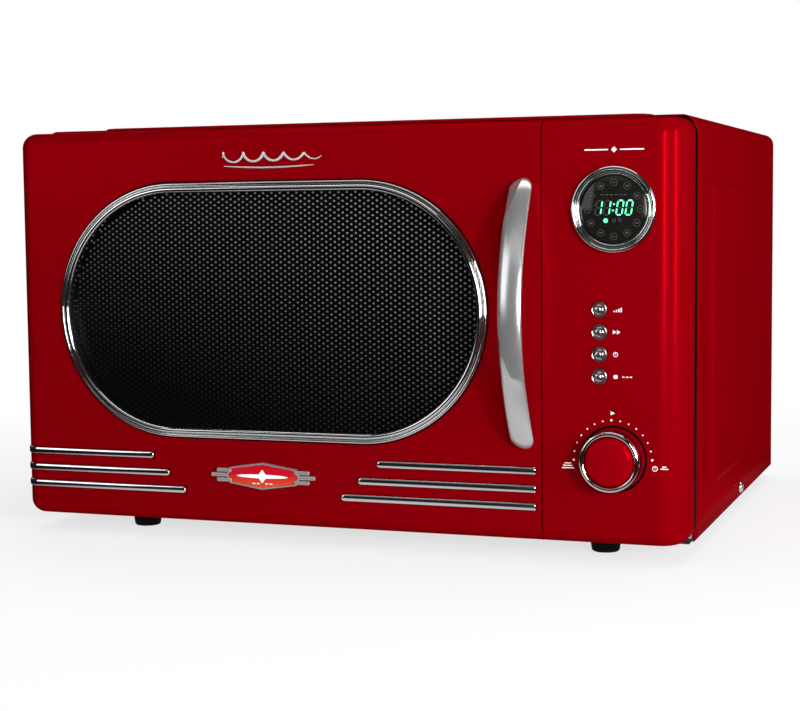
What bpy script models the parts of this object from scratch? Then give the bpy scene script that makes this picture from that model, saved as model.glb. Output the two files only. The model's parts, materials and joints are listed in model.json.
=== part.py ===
"""A countertop microwave oven in a retro style: red front mouldings, chrome trim, a side-hung door,
a turntable on a roller ring, and the high-voltage parts and fan in the right-hand compartment.
Metres, +Z up, +X to the right of someone facing the door, +Y into the depth. The origin is the
middle of the object's box, on the surface it stands on."""

import math

import bmesh
import bpy

# Driving dimensions
WIDTH = 0.440
MOULD_BOTTOM = -0.0017  # the door and the control panel
MOULD_TOP = 0.2488
MOULD_DEPTH = 0.035
BODY_DEPTH = 0.3667  # front face to the rear panel
PLATEAU_TOP = 0.2533  # the raised part of the cabinet top
FOOT_DROP = 0.0120  # the feet's soles below the level that heights are measured from
HANDLE_OUT = 0.0355
BAR_PROUD = 0.0006  # the trim bars stand out of the door by this much, at its left side too
GLAND_OUT = 0.006
GAP = 0.0003  # between neighbouring solids
SHEET = 0.0008
WALL = 0.0025
DOOR_RIGHT = 0.3538
PANEL_LEFT = 0.3546
TOP_FILLET = 0.0095
LEFT_FILLET = 0.010
RIGHT_FILLET = 0.018

LEFT = -WIDTH / 2
FRONT = -(BODY_DEPTH + GLAND_OUT - HANDLE_OUT) / 2

# Cabinet and cavity
CABINET_SIDE = 0.0015  # the plain side sheets stand in from the full width
PLAIN_TOP = 0.2513
CABINET_BOTTOM = -0.0033
BASE_FRONT = 0.027  # the base runs forward under the mouldings to carry the front feet
BASE_TOP = CABINET_BOTTOM + 0.0012
FOLD_RADIUS = 0.008
EMBOSS = 0.0012
FRAME_FRONT = MOULD_DEPTH + 0.0012
FRAME_BACK = FRAME_FRONT + 0.0012
CAVITY = ((0.027, 0.331), (FRAME_BACK + GAP, 0.330), (0.022, 0.212))
CENTRE_X = 0.179
CENTRE_Y = 0.184

# Door
HINGE = (0.010, 0.025)
HINGE_SLOTS = (0.0100, 0.2383)
WINDOW = (0.176, 0.1343)
WINDOW_HALF_RUN = 0.0640
RING_OUTER = 0.0812
RING_INNER = 0.0747
BAR_HEIGHTS = (0.0411, 0.0301, 0.0194)
LEFT_BAR_ENDS = (0.0960, 0.1072, 0.1187)
RIGHT_BAR_STARTS = (0.2494, 0.2369, 0.2256)
RIGHT_BAR_END = 0.3505
BAR_TALL = 0.0044
HANDLE_X = 0.344
HANDLE_SPAN = (0.0526, 0.2163)
LATCH_X = 0.3465
LATCH_HEIGHTS = (0.060, 0.190)

# Controls
DISPLAY = (0.3978, 0.1957)
KNOB = (0.3970, 0.0495)
BUTTON_X = 0.3893
BUTTON_TOP = 0.1376
BUTTON_PITCH = 0.01307
BUTTONS = 4
BOARD_Y = 0.015

# Turntable
FLOOR = CAVITY[2][0]
TRAY_RADIUS = 0.1275
ROLLER_TRACK = 0.090
ROLLER_RADIUS = 0.0070
ROLLERS = 3
TRAY_Z = FLOOR + 2 * ROLLER_RADIUS + 2 * GAP

# Right-hand compartment
FAN = (0.385, 0.175)


def at(x, y, z):
    """A place measured from the left and the front of the front mouldings, and up."""
    return (LEFT + x, FRONT + y, FOOT_DROP + z)


def clear_scene():
    for obj in list(bpy.data.objects):
        bpy.data.objects.remove(obj)


def collection(name):
    made = bpy.data.collections.new(name)
    bpy.context.scene.collection.children.link(made)
    return made


clear_scene()
PARTS = collection("microwave_oven")
CUTTERS = collection("cutters")
CUTTERS.hide_render = True


def finish(name, colour, roughness, metallic=0.0, alpha=1.0):
    made = bpy.data.materials.new(name)
    made.use_nodes = True
    shader = made.node_tree.nodes["Principled BSDF"]
    shader.inputs["Base Color"].default_value = (*colour, 1.0)
    shader.inputs["Roughness"].default_value = roughness
    shader.inputs["Metallic"].default_value = metallic
    shader.inputs["Alpha"].default_value = alpha
    return made


RED_PLASTIC = finish("red_plastic", (0.22, 0.002, 0.004), 0.18)
RED_PAINT = finish("red_paint", (0.20, 0.002, 0.004), 0.25)
CHROME = finish("chrome", (0.80, 0.80, 0.80), 0.08, 1.0)
SATIN_CHROME = finish("satin_chrome", (0.60, 0.60, 0.60), 0.28, 1.0)
GALVANISED = finish("galvanised_steel", (0.45, 0.46, 0.47), 0.45, 1.0)
CAVITY_PAINT = finish("cavity_paint", (0.62, 0.62, 0.60), 0.40)
BLACK_PLASTIC = finish("black_plastic", (0.02, 0.02, 0.02), 0.50)
BLACK_GLASS = finish("black_glass", (0.01, 0.01, 0.01), 0.05)
CLEAR_GLASS = finish("clear_glass", (0.90, 0.95, 0.93), 0.04, 0.0, 0.35)
DARK_SCREEN = finish("dark_screen", (0.03, 0.03, 0.03), 0.45)
RUBBER = finish("rubber", (0.02, 0.02, 0.02), 0.85)
WHITE_PLASTIC = finish("white_plastic", (0.80, 0.80, 0.78), 0.45)
BOARD_GREEN = finish("board_green", (0.03, 0.16, 0.06), 0.50)
COPPER = finish("copper_winding", (0.55, 0.22, 0.08), 0.40, 1.0)
MICA = finish("mica", (0.55, 0.50, 0.42), 0.60)
ENAMEL = finish("orange_enamel", (0.60, 0.09, 0.02), 0.20)


def place_mesh(name, bm, look, smooth=40):
    mesh = bpy.data.meshes.new(name)
    bmesh.ops.recalc_face_normals(bm, faces=bm.faces)
    bm.to_mesh(mesh)
    bm.free()
    mesh.shade_smooth()
    mesh.set_sharp_from_angle(angle=math.radians(smooth))
    obj = bpy.data.objects.new(name, mesh)
    PARTS.objects.link(obj)
    obj.data.materials.append(look)
    return obj


def move_origin(obj, point):
    """Puts the object's origin on its joint axis and leaves its shape where it is."""
    shift = [old - new for old, new in zip(obj.location, point)]
    if obj.rotation_euler.x:
        shift = [shift[0], shift[2], -shift[1]]
    for vertex in obj.data.vertices:
        vertex.co = [value + offset for value, offset in zip(vertex.co, shift)]
    obj.location = point


def block_mesh(low, high):
    bm = bmesh.new()
    bmesh.ops.create_cube(bm, size=1.0)
    for vertex in bm.verts:
        for axis in range(3):
            middle = (low[axis] + high[axis]) / 2
            vertex.co[axis] = middle + vertex.co[axis] * (high[axis] - low[axis])
    return bm


def block(name, low, high, look, bevel=0.0, segments=2):
    """A box between two corners given as at() takes them, with its edges bevelled."""
    bm = block_mesh(at(*low), at(*high))
    if bevel:
        bmesh.ops.bevel(bm, geom=bm.edges[:], offset=bevel, segments=segments, profile=0.5, affect="EDGES")
    return place_mesh(name, bm, look)


def rod(name, start, end, radius, look, sides=24):
    """A cylinder along X, Y or Z between two places given as at() takes them."""
    start, end = at(*start), at(*end)
    axis = max(range(3), key=lambda i: abs(end[i] - start[i]))
    bm = bmesh.new()
    bmesh.ops.create_cone(
        bm, cap_ends=True, segments=sides, radius1=radius, radius2=radius, depth=abs(end[axis] - start[axis])
    )
    turn = {0: (0.0, math.pi / 2, 0.0), 1: (math.pi / 2, 0.0, 0.0), 2: (0.0, 0.0, 0.0)}[axis]
    obj = place_mesh(name, bm, look)
    obj.location = [(a + b) / 2 for a, b in zip(start, end)]
    obj.rotation_euler = turn
    return obj


def turned(name, profile, place, look, forward=False, steps=32):
    """A turned shape. The profile is (radius, height) pairs, from the top down the outer side. It
    starts and ends on the axis or, for a ring, is closed. Its height runs up, or towards the front."""
    bm = bmesh.new()
    corners = [bm.verts.new((radius, 0.0, height)) for radius, height in profile]
    for one, other in zip(corners, corners[1:]):
        bm.edges.new((one, other))
    if profile[0][0] > 0:
        bm.edges.new((corners[-1], corners[0]))
    mesh = bpy.data.meshes.new(name)
    bm.to_mesh(mesh)
    bm.free()
    obj = bpy.data.objects.new(name, mesh)
    PARTS.objects.link(obj)
    obj.data.materials.append(look)
    obj.location = at(*place)
    if forward:
        obj.rotation_euler = (math.pi / 2, 0.0, 0.0)
    screw = obj.modifiers.new("Turn", "SCREW")
    screw.steps = steps
    screw.render_steps = steps
    screw.use_merge_vertices = True
    screw.merge_threshold = 0.00001
    screw.use_smooth_shade = True
    return obj


def arc(centre, radius, start, end, steps):
    """Points on an arc, with its angles in degrees."""
    points = []
    for step in range(steps + 1):
        angle = math.radians(start + (end - start) * step / steps)
        points.append((centre[0] + radius * math.cos(angle), centre[1] + radius * math.sin(angle)))
    return points


def stadium(radius, half_run, steps=12):
    return arc((half_run, 0), radius, -90, 90, steps) + arc((-half_run, 0), radius, 90, 270, steps)


def flat(name, outline, thickness, place, look, upright=True):
    """An extruded outline: in the XZ plane if upright, else in the XY plane. The place is its middle."""
    curve = bpy.data.curves.new(name, "CURVE")
    curve.dimensions = "2D"
    curve.fill_mode = "BOTH"
    curve.extrude = thickness / 2
    spline = curve.splines.new("POLY")
    spline.points.add(len(outline) - 1)
    for point, (x, y) in zip(spline.points, outline):
        point.co = (x, y, 0.0, 1.0)
    spline.use_cyclic_u = True
    obj = bpy.data.objects.new(name, curve)
    PARTS.objects.link(obj)
    return as_mesh(obj, name, look, at(*place), (math.pi / 2 if upright else 0.0, 0.0, 0.0))


def as_mesh(curve_object, name, look, location=(0.0, 0.0, 0.0), rotation=(0.0, 0.0, 0.0)):
    """Replaces a curve object with its mesh, with the caps welded to the sides."""
    bpy.context.view_layer.update()
    graph = bpy.context.evaluated_depsgraph_get()
    mesh = bpy.data.meshes.new_from_object(curve_object.evaluated_get(graph))
    data = curve_object.data
    bpy.data.objects.remove(curve_object)
    bpy.data.curves.remove(data)
    bm = bmesh.new()
    bm.from_mesh(mesh)
    bpy.data.meshes.remove(mesh)
    bmesh.ops.remove_doubles(bm, verts=bm.verts, dist=0.000001)
    obj = place_mesh(name, bm, look)
    obj.data.materials.clear()
    obj.data.materials.append(look)
    obj.location = location
    obj.rotation_euler = rotation
    return obj


def combine(target, tool, operation="DIFFERENCE"):
    boolean = target.modifiers.new(tool.name, "BOOLEAN")
    boolean.operation = operation
    boolean.solver = "EXACT"
    boolean.object = tool
    PARTS.objects.unlink(tool)
    CUTTERS.objects.link(tool)
    tool.hide_render = True
    tool.display_type = "WIRE"
    return target


def join(target, tool):
    return combine(target, tool, "UNION")


def drill(target, start, end, radius, sides=24):
    hole = rod(f"{target.name}_hole", start, end, radius, BLACK_PLASTIC, sides)
    return combine(target, hole)


def on(value, target):
    return abs(value - target) < 0.00001


def moulding(name, low, high, look, front_fillet, back_fillet, top_fillet, side):
    """A front moulding: the upright edges at its outer side are rounded, then its top and bottom rims.
    side is the x of the outer side, which the door has on its left and the panel on its right."""
    bm = block_mesh(at(*low), at(*high))
    (_, front, bottom), (_, back, top) = at(*low), at(*high)
    outer = LEFT + side
    inner = LEFT + (high[0] if on(side, low[0]) else low[0])
    for y, radius in ((front, front_fillet), (back, back_fillet)):
        edges = [e for e in bm.edges if all(on(v.co.x, outer) and on(v.co.y, y) for v in e.verts)]
        if radius:
            bmesh.ops.bevel(bm, geom=edges, offset=radius, segments=6, profile=0.5, affect="EDGES")
    rims = []
    for edge in bm.edges:
        first, second = (v.co for v in edge.verts)
        level = any(on(first.z, z) and on(second.z, z) for z in (bottom, top))
        at_joint = on(first.x, inner) and on(second.x, inner)
        at_back = on(first.y, back) and on(second.y, back)
        if level and not at_joint and not at_back:
            rims.append(edge)
    bmesh.ops.bevel(bm, geom=rims, offset=top_fillet, segments=4, profile=0.5, affect="EDGES")
    return place_mesh(name, bm, look)


# ---- Cabinet ----


def outer_cabinet():
    """The wrap: one sheet folded over the top and both sides, with a raised panel on each."""
    half = WIDTH / 2 - CABINET_SIDE
    top = FOOT_DROP + PLAIN_TOP
    bottom = FOOT_DROP + CABINET_BOTTOM
    side_low, side_high = 0.022, 0.211
    slope = 0.004
    edge = 0.030
    right = [(half, bottom)]
    right += [(half, FOOT_DROP + z) for z in (side_low, side_low + slope, side_high - slope, side_high)]
    right += arc((half - FOLD_RADIUS, top - FOLD_RADIUS), FOLD_RADIUS, 0, 90, 6)
    right += [(half - x, top) for x in (edge, edge + slope)]
    profile = right + [(-x, z) for x, z in reversed(right)]
    rear = 0.335
    front = MOULD_DEPTH + 0.0008
    depths = (front, 0.050, 0.050 + slope, 0.095, 0.095 + slope, rear, rear + slope, BODY_DEPTH)
    bm = bmesh.new()
    row = [bm.verts.new((x, FRONT + depths[0], z)) for x, z in profile]
    edges = [bm.edges.new(pair) for pair in zip(row, row[1:])]
    for before, after in zip(depths, depths[1:]):
        grown = bmesh.ops.extrude_edge_only(bm, edges=edges)["geom"]
        edges = [item for item in grown if isinstance(item, bmesh.types.BMEdge)]
        edges = [e for e in edges if all(v in grown for v in e.verts)]
        moved = [item for item in grown if isinstance(item, bmesh.types.BMVert)]
        bmesh.ops.translate(bm, verts=moved, vec=(0, after - before, 0))
    for vertex in bm.verts:
        depth = vertex.co.y - FRONT
        height = vertex.co.z - FOOT_DROP
        within_side = side_low + 0.001 < height < side_high - 0.001
        within_top = on(vertex.co.z, top) and abs(vertex.co.x) < half - edge - 0.001
        if within_side and depths[3] + 0.001 < depth < rear + 0.001:
            vertex.co.x += math.copysign(EMBOSS, vertex.co.x)
        if within_top and depths[1] + 0.001 < depth < rear + 0.001:
            vertex.co.z = FOOT_DROP + PLATEAU_TOP
        vertex.co.x += LEFT + WIDTH / 2
    obj = place_mesh("outer_cabinet", bm, RED_PAINT)
    shell = obj.modifiers.new("Sheet", "SOLIDIFY")
    shell.thickness = SHEET
    shell.offset = -1.0
    return obj


def base_plate():
    low = (CABINET_SIDE + SHEET + 0.0006, BASE_FRONT, CABINET_BOTTOM)
    return block("base_plate", low, (WIDTH - low[0], BODY_DEPTH - 0.0025, BASE_TOP), GALVANISED)


def rear_panel():
    inset = CABINET_SIDE + SHEET + 0.0006
    y = BODY_DEPTH - 0.0018
    high = (WIDTH - inset, y + 0.0012, PLAIN_TOP - SHEET - 0.0006)
    panel = block("rear_panel", (inset, y, CABINET_BOTTOM), high, GALVANISED)
    for side in (inset, WIDTH - inset):
        drill(panel, (side, y - 0.01, PLAIN_TOP - SHEET), (side, y + 0.01, PLAIN_TOP - SHEET), 0.0075)
    for column in range(3):
        for row in range(7):
            x = 0.350 + 0.027 * column
            z = 0.130 + 0.013 * row
            slot = ((x, y - 0.01, z), (x + 0.022, y + 0.01, z + 0.0035))
            combine(panel, block("vent_slot", *slot, BLACK_PLASTIC))
    drill(panel, (0.395, y - 0.01, 0.030), (0.395, y + 0.01, 0.030), 0.0083)
    return panel


def mains_gland():
    """The bush in the rear panel where the mains lead comes in."""
    profile = [
        (0.0045, 0.0), (0.0078, 0.0), (0.0078, -0.0032), (0.0105, -0.0032),
        (0.0105, -0.0055), (0.0085, -0.0095), (0.0045, -0.0095),
    ]
    turned("mains_gland", profile, (0.395, BODY_DEPTH + GLAND_OUT - 0.0095, 0.030), BLACK_PLASTIC, True, 24)


def feet():
    top = CABINET_BOTTOM - GAP
    drop = FOOT_DROP + top
    profile = [(0.0, 0.0), (0.0095, 0.0), (0.0083, -drop), (0.0, -drop)]
    for side, x in (("left", 0.070), ("right", 0.384)):
        for end, y in (("front", 0.038), ("rear", 0.330)):
            turned(f"foot_{end}_{side}", profile, (x, y, top), RUBBER, steps=24)


def screw(name, place, sign, along, tall, radius):
    """A slotted screw head that stands out along X (0) or Y (1) from the sheet it holds."""
    outer = list(place)
    outer[along] += sign * tall
    start = list(place)
    start[along] += sign * GAP
    head = rod(name, start, outer, radius, CHROME, 16)
    low = [value - 0.0020 for value in place]
    high = [value + 0.0020 for value in place]
    low[2], high[2] = place[2] - 0.0004, place[2] + 0.0004
    ends = (place[along] + sign * (tall - 0.0004), place[along] + sign * (tall + 0.0020))
    low[along], high[along] = sorted(ends)
    combine(head, block("driver_slot", low, high, BLACK_PLASTIC))


def cabinet_screws():
    """A screw through the lower edge of the wrap on each side, and two in the rear panel."""
    screw("side_screw_left", (CABINET_SIDE, 0.208, 0.0034), -1, 0, 0.0026, 0.0037)
    screw("side_screw_right", (WIDTH - CABINET_SIDE, 0.208, 0.0034), 1, 0, 0.0026, 0.0037)
    for side, x in (("left", 0.020), ("right", WIDTH - 0.020)):
        screw(f"rear_screw_{side}", (x, BODY_DEPTH - 0.0006, 0.235), 1, 1, 0.0014, 0.0032)


def front_frame():
    inset = CABINET_SIDE + SHEET + 0.0006
    top = MOULD_TOP - 0.002
    low = (inset, FRAME_FRONT, BASE_TOP + GAP)
    frame = block("front_frame", low, (WIDTH - inset, FRAME_BACK, top), GALVANISED)
    for side in (inset, WIDTH - inset):
        drill(frame, (side, FRAME_FRONT - 0.01, top), (side, FRAME_BACK + 0.01, top), 0.0075)
    (x0, x1), _, (z0, z1) = CAVITY
    combine(frame, block("mouth", (x0, 0.02, z0), (x1, 0.06, z1), BLACK_PLASTIC))
    combine(frame, block("panel_mouth", (0.366, 0.02, 0.020), (0.428, 0.06, 0.230), BLACK_PLASTIC))
    for z in LATCH_HEIGHTS:
        low = (LATCH_X - 0.0045, 0.02, z - 0.012)
        combine(frame, block("latch_slot", low, (LATCH_X + 0.0045, 0.06, z + 0.012), BLACK_PLASTIC))
    return frame


def cavity_liner():
    """The oven's inner box, open to the front, with the drive hole and the waveguide port."""
    (x0, x1), (y0, y1), (z0, z1) = CAVITY
    low, high = (x0 - SHEET, y0, z0 - SHEET), (x1 + SHEET, y1 + SHEET, z1 + SHEET)
    liner = block("cavity_liner", low, high, CAVITY_PAINT)
    combine(liner, block("cavity_space", (x0, y0 - 0.02, z0), (x1, y1, z1), BLACK_PLASTIC))
    drill(liner, (CENTRE_X, CENTRE_Y, z0 - 0.01), (CENTRE_X, CENTRE_Y, z0 + 0.01), 0.0065)
    combine(liner, block("port", (x1 - 0.01, 0.130, 0.150), (x1 + 0.01, 0.200, 0.180), BLACK_PLASTIC))
    return liner


# ---- Door ----


def window_outline(name, radius, front, back, look):
    middle = (WINDOW[0], (front + back) / 2, WINDOW[1])
    return flat(name, stadium(radius, WINDOW_HALF_RUN), back - front, middle, look)


def bar_band(name, end, z, outer, inner, tall, look):
    """A flat band that lies along the door's front from x = end and wraps round its left edge."""
    radius = LEFT_FILLET
    outline = [(end, -outer)]
    outline += [(radius + (radius + outer) * math.cos(a), radius + (radius + outer) * math.sin(a))
                for a in (math.radians(270 - 15 * step) for step in range(7))]
    outline += [(-outer, 0.0190), (inner, 0.0190)]
    outline += [(radius + (radius - inner) * math.cos(a), radius + (radius - inner) * math.sin(a))
                for a in (math.radians(180 + 15 * step) for step in range(7))]
    outline += [(end, inner)]
    return flat(name, outline, tall, (0.0, 0.0, z), look, upright=False)


def door_shell():
    """The red door moulding, hollow from behind, with the window, the trim grooves and the hinge bores."""
    shell = moulding(
        "door_shell", (0.0, 0.0, MOULD_BOTTOM), (DOOR_RIGHT, MOULD_DEPTH, MOULD_TOP), RED_PLASTIC,
        LEFT_FILLET, LEFT_FILLET, TOP_FILLET, 0.0,
    )
    floor, inner_right, inner_top = MOULD_BOTTOM + WALL, DOOR_RIGHT - WALL, MOULD_TOP - WALL
    front_hollow = moulding(
        "door_front_hollow", (WALL, WALL, floor), (inner_right, 0.0170, inner_top), BLACK_PLASTIC,
        LEFT_FILLET - WALL, 0.0, TOP_FILLET - WALL, WALL,
    )
    combine(shell, front_hollow)
    low, high = (0.018, 0.016, floor), (inner_right, 0.06, inner_top)
    combine(shell, block("door_back_hollow", low, high, BLACK_PLASTIC))
    combine(shell, window_outline("window_hole", 0.0775, -0.01, 0.006, BLACK_PLASTIC))
    for z, end in zip(BAR_HEIGHTS, LEFT_BAR_ENDS):
        groove = bar_band("left_groove", end + GAP, z, 0.002, 0.0010, BAR_TALL + 2 * GAP, BLACK_PLASTIC)
        combine(shell, groove)
    for z, start in zip(BAR_HEIGHTS, RIGHT_BAR_STARTS):
        low = (start - GAP, -0.01, z - BAR_TALL / 2 - GAP)
        high = (RIGHT_BAR_END + GAP, 0.0010, z + BAR_TALL / 2 + GAP)
        combine(shell, block("right_groove", low, high, BLACK_PLASTIC))
    for z in HINGE_SLOTS:
        drill(shell, (*HINGE, z - 0.007), (*HINGE, z + 0.007), 0.0031)
        slot = ((-0.01, 0.0145, z - 0.0016), (0.020, 0.05, z + 0.0016))
        combine(shell, block("hinge_slot", *slot, BLACK_PLASTIC))
    return shell


def hinge_brackets():
    """A steel arm from the front frame with a pin through it, on which the door's bores turn."""
    for name, z in zip(("hinge_bracket_lower", "hinge_bracket_upper"), HINGE_SLOTS):
        low = (HINGE[0] - 0.0045, HINGE[1] - 0.0045, z - 0.001)
        arm = block(name, low, (HINGE[0] + 0.0045, FRAME_FRONT - GAP, z + 0.001), GALVANISED)
        join(arm, rod("hinge_pin", (*HINGE, z - 0.0062), (*HINGE, z + 0.0062), 0.0027, GALVANISED, 20))


def window():
    ring = window_outline("window_trim_ring", RING_OUTER, -0.0030, -GAP, CHROME)
    join(ring, window_outline("ring_sleeve", 0.0770, -0.0020, 0.0055, CHROME))
    combine(ring, window_outline("ring_opening", RING_INNER, -0.01, 0.01, BLACK_PLASTIC))
    window_outline("window_glass", 0.0800, 0.0060, 0.0080, BLACK_GLASS)
    window_outline("window_screen", 0.0800, 0.0083, 0.0089, DARK_SCREEN)


def door_inner_panel():
    """The stamped choke frame that closes the back of the door, with the latch openings."""
    inset = WALL + 0.0005
    low = (0.0185, 0.030, MOULD_BOTTOM + inset)
    high = (DOOR_RIGHT - inset, MOULD_DEPTH - GAP, MOULD_TOP - inset)
    panel = block("door_inner_panel", low, high, CAVITY_PAINT)
    for z in LATCH_HEIGHTS:
        low = (LATCH_X - 0.0035, 0.02, z - 0.0120)
        combine(panel, block("latch_window", low, (LATCH_X + 0.0035, 0.05, z + 0.0120), BLACK_PLASTIC))
    return panel


def door_latch():
    """The sprung plate inside the door: a bar with two hooks that reach through to the interlock."""
    bar = (LATCH_X - 0.0020, 0.022, LATCH_HEIGHTS[0] - 0.010)
    latch = block("door_latch", bar, (LATCH_X + 0.0020, 0.028, LATCH_HEIGHTS[1] + 0.010), WHITE_PLASTIC)
    for z in LATCH_HEIGHTS:
        low = (LATCH_X - 0.0020, 0.026, z - 0.006)
        join(latch, block("hook_arm", low, (LATCH_X + 0.0020, 0.052, z), WHITE_PLASTIC))
        low = (LATCH_X - 0.0020, 0.046, z - 0.009)
        join(latch, block("hook_nose", low, (LATCH_X + 0.0020, 0.052, z - 0.003), WHITE_PLASTIC))
    return latch


def door_handle():
    """A bowed bar: an oval section that follows one arch, flattened where it meets the door."""
    low, high = HANDLE_SPAN
    steps = 14
    half_thick = 0.0045
    crown = HANDLE_OUT - half_thick
    curve = bpy.data.curves.new("handle", "CURVE")
    curve.dimensions = "3D"
    curve.bevel_depth = half_thick
    curve.bevel_resolution = 3
    curve.use_fill_caps = True
    spline = curve.splines.new("POLY")
    spline.points.add(steps)
    for step, point in enumerate(spline.points):
        share = step / steps
        out = math.sin(math.pi * share) ** 0.8
        z = low + 0.004 + (high - low - 0.008) * share
        point.co = (0.0, -(0.0052 + (crown - 0.0052) * out), z, 1.0)
    obj = bpy.data.objects.new("handle", curve)
    PARTS.objects.link(obj)
    handle = as_mesh(obj, "door_handle", SATIN_CHROME)
    for vertex in handle.data.vertices:
        vertex.co.x *= 1.6
    handle.location = at(HANDLE_X, 0.0, 0.0)
    low, high = (HANDLE_X - 0.02, -GAP, 0.0), (HANDLE_X + 0.02, 0.02, 0.25)
    combine(handle, block("handle_seat", low, high, BLACK_PLASTIC))
    return handle


def trim_bars():
    for number, (z, end) in enumerate(zip(BAR_HEIGHTS, LEFT_BAR_ENDS), 1):
        bar_band(f"trim_bar_left_{number}", end, z, BAR_PROUD, 0.0010 - GAP, BAR_TALL, CHROME)
    for number, (z, start) in enumerate(zip(BAR_HEIGHTS, RIGHT_BAR_STARTS), 1):
        middle = ((start + RIGHT_BAR_END) / 2, 0.0, z)
        run = (RIGHT_BAR_END - start) / 2
        radius = BAR_TALL / 2
        outline = [(run, -radius), (run, radius)] + arc((-run + radius, 0), radius, 90, 270, 6)
        flat(f"trim_bar_right_{number}", outline, 0.0013, (middle[0], 0.00005, z), CHROME)


def badge():
    """A long eight-sided plate of enamel in a chrome border, with a three-bar winglet at each end."""
    x, z = 0.1728, 0.0304
    half, shoulder, rise, tall = 0.0256, 0.0229, 0.0052, 0.0088
    outline = [
        (-half, 0), (-shoulder, -rise), (0, -tall), (shoulder, -rise),
        (half, 0), (shoulder, rise), (0, tall), (-shoulder, rise),
    ]
    plate = flat("door_badge", outline, 0.0020, (x, -0.0013, z), ENAMEL)
    for side in (-1, 1):
        for row in (-1, 0, 1):
            reach = 0.0365 if row == 0 else 0.0335
            ends = sorted((x + side * 0.020, x + side * reach))
            middle = z + row * 0.0034
            low, high = (ends[0], -0.0018, middle - 0.0012), (ends[1], -0.0005, middle + 0.0012)
            join(plate, block("winglet", low, high, CHROME))
    return plate


def top_ornament():
    """A plain chrome flourish above the window, of one wavy strip."""
    steps = 24
    points = []
    for step in range(steps + 1):
        share = step / steps
        height = 0.0036 * math.sin(4 * math.pi * share) * (1 - 0.5 * share)
        points.append(((share - 0.5) * 0.072, height))
    thick = 0.0009
    outline = [(x, z + thick) for x, z in points] + [(x, z - thick) for x, z in reversed(points)]
    return flat("top_ornament", outline, 0.0012, (0.1802, -0.0009, 0.2290), CHROME)


# ---- Control panel ----


def button_heights():
    return [BUTTON_TOP - BUTTON_PITCH * number for number in range(BUTTONS)]


def control_panel():
    panel = moulding(
        "control_panel", (PANEL_LEFT, 0.0, MOULD_BOTTOM), (WIDTH, MOULD_DEPTH, MOULD_TOP), RED_PLASTIC,
        RIGHT_FILLET, 0.0, TOP_FILLET, WIDTH,
    )
    low, high = (PANEL_LEFT + WALL, WALL, MOULD_BOTTOM + WALL), (WIDTH - WALL, 0.06, MOULD_TOP - WALL)
    hollow = moulding(
        "panel_hollow", low, high, BLACK_PLASTIC, RIGHT_FILLET - WALL, 0.0, TOP_FILLET - WALL, WIDTH - WALL
    )
    combine(panel, hollow)
    drill(panel, (DISPLAY[0], -0.01, DISPLAY[1]), (DISPLAY[0], 0.01, DISPLAY[1]), 0.0206, 40)
    drill(panel, (KNOB[0], -0.01, KNOB[1]), (KNOB[0], 0.01, KNOB[1]), 0.0040)
    for z in button_heights():
        drill(panel, (BUTTON_X, -0.01, z), (BUTTON_X, 0.01, z), 0.0050)
    return panel


def display():
    ring = [
        (0.0210, 0.0036), (0.0232, 0.0030), (0.0255, 0.0010),
        (0.0255, GAP), (0.0202, GAP), (0.0202, 0.0020),
    ]
    turned("display_bezel", ring, (DISPLAY[0], 0.0, DISPLAY[1]), CHROME, True, 48)
    lens = [(0.0, 0.0016), (0.0140, 0.0013), (0.0198, 0.0004), (0.0198, -0.0030), (0.0, -0.0030)]
    turned("display_lens", lens, (DISPLAY[0], 0.0, DISPLAY[1]), BLACK_GLASS, True, 40)
    module = [(0.0, -0.0033), (0.0190, -0.0033), (0.0190, -0.0120), (0.0, -0.0120)]
    turned("display_module", module, (DISPLAY[0], 0.0, DISPLAY[1]), BLACK_PLASTIC, True, 24)


def control_board():
    low = (0.3700, BOARD_Y, 0.030)
    board = block("control_board", low, (0.4200, BOARD_Y + 0.0016, 0.225), BOARD_GREEN)
    relays = ((0.376, 0.150, 0.016, 0.012), (0.398, 0.078, 0.014, 0.014), (0.376, 0.085, 0.012, 0.008))
    for x, z, wide, tall in relays:
        relay = ((x, BOARD_Y + 0.001, z), (x + wide, BOARD_Y + 0.014, z + tall))
        join(board, block("relay", *relay, BLACK_PLASTIC))
    return board


def knob():
    """A chrome cup with a stem through the panel, and a domed red cap set into it."""
    cup = [
        (0.0, 0.0032), (0.0148, 0.0032), (0.0148, 0.0112), (0.0163, 0.0114), (0.0176, 0.0104),
        (0.0180, 0.0085), (0.0180, 0.0010), (0.0030, 0.0008), (0.0030, -0.0075), (0.0, -0.0075),
    ]
    turned("knob_ring", cup, (KNOB[0], 0.0, KNOB[1]), CHROME, True, 40)
    cap = [
        (0.0, 0.0128), (0.0070, 0.0125), (0.0120, 0.0116),
        (0.0144, 0.0102), (0.0144, 0.0036), (0.0, 0.0036),
    ]
    turned("knob_cap", cap, (KNOB[0], 0.0, KNOB[1]), RED_PLASTIC, True, 40)
    x, z = KNOB
    low, high = (x - 0.006, 0.0082, z - 0.006), (x + 0.006, BOARD_Y - GAP, z + 0.006)
    block("rotary_encoder", low, high, GALVANISED, 0.0005)


def buttons():
    """Sprung chrome domes, each on a stem with a collar that stops against the panel's back."""
    profile = [
        (0.0, 0.0042), (0.0020, 0.0038), (0.0036, 0.0027), (0.0045, 0.0012), (0.00465, 0.0),
        (0.00465, -0.0028), (0.0060, -0.0028), (0.0060, -0.0045), (0.0020, -0.0045),
        (0.0020, -0.0120), (0.0, -0.0120),
    ]
    for number, z in enumerate(button_heights(), 1):
        turned(f"button_{number}", profile, (BUTTON_X, 0.0, z), CHROME, True, 20)


# ---- Turntable ----


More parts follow.
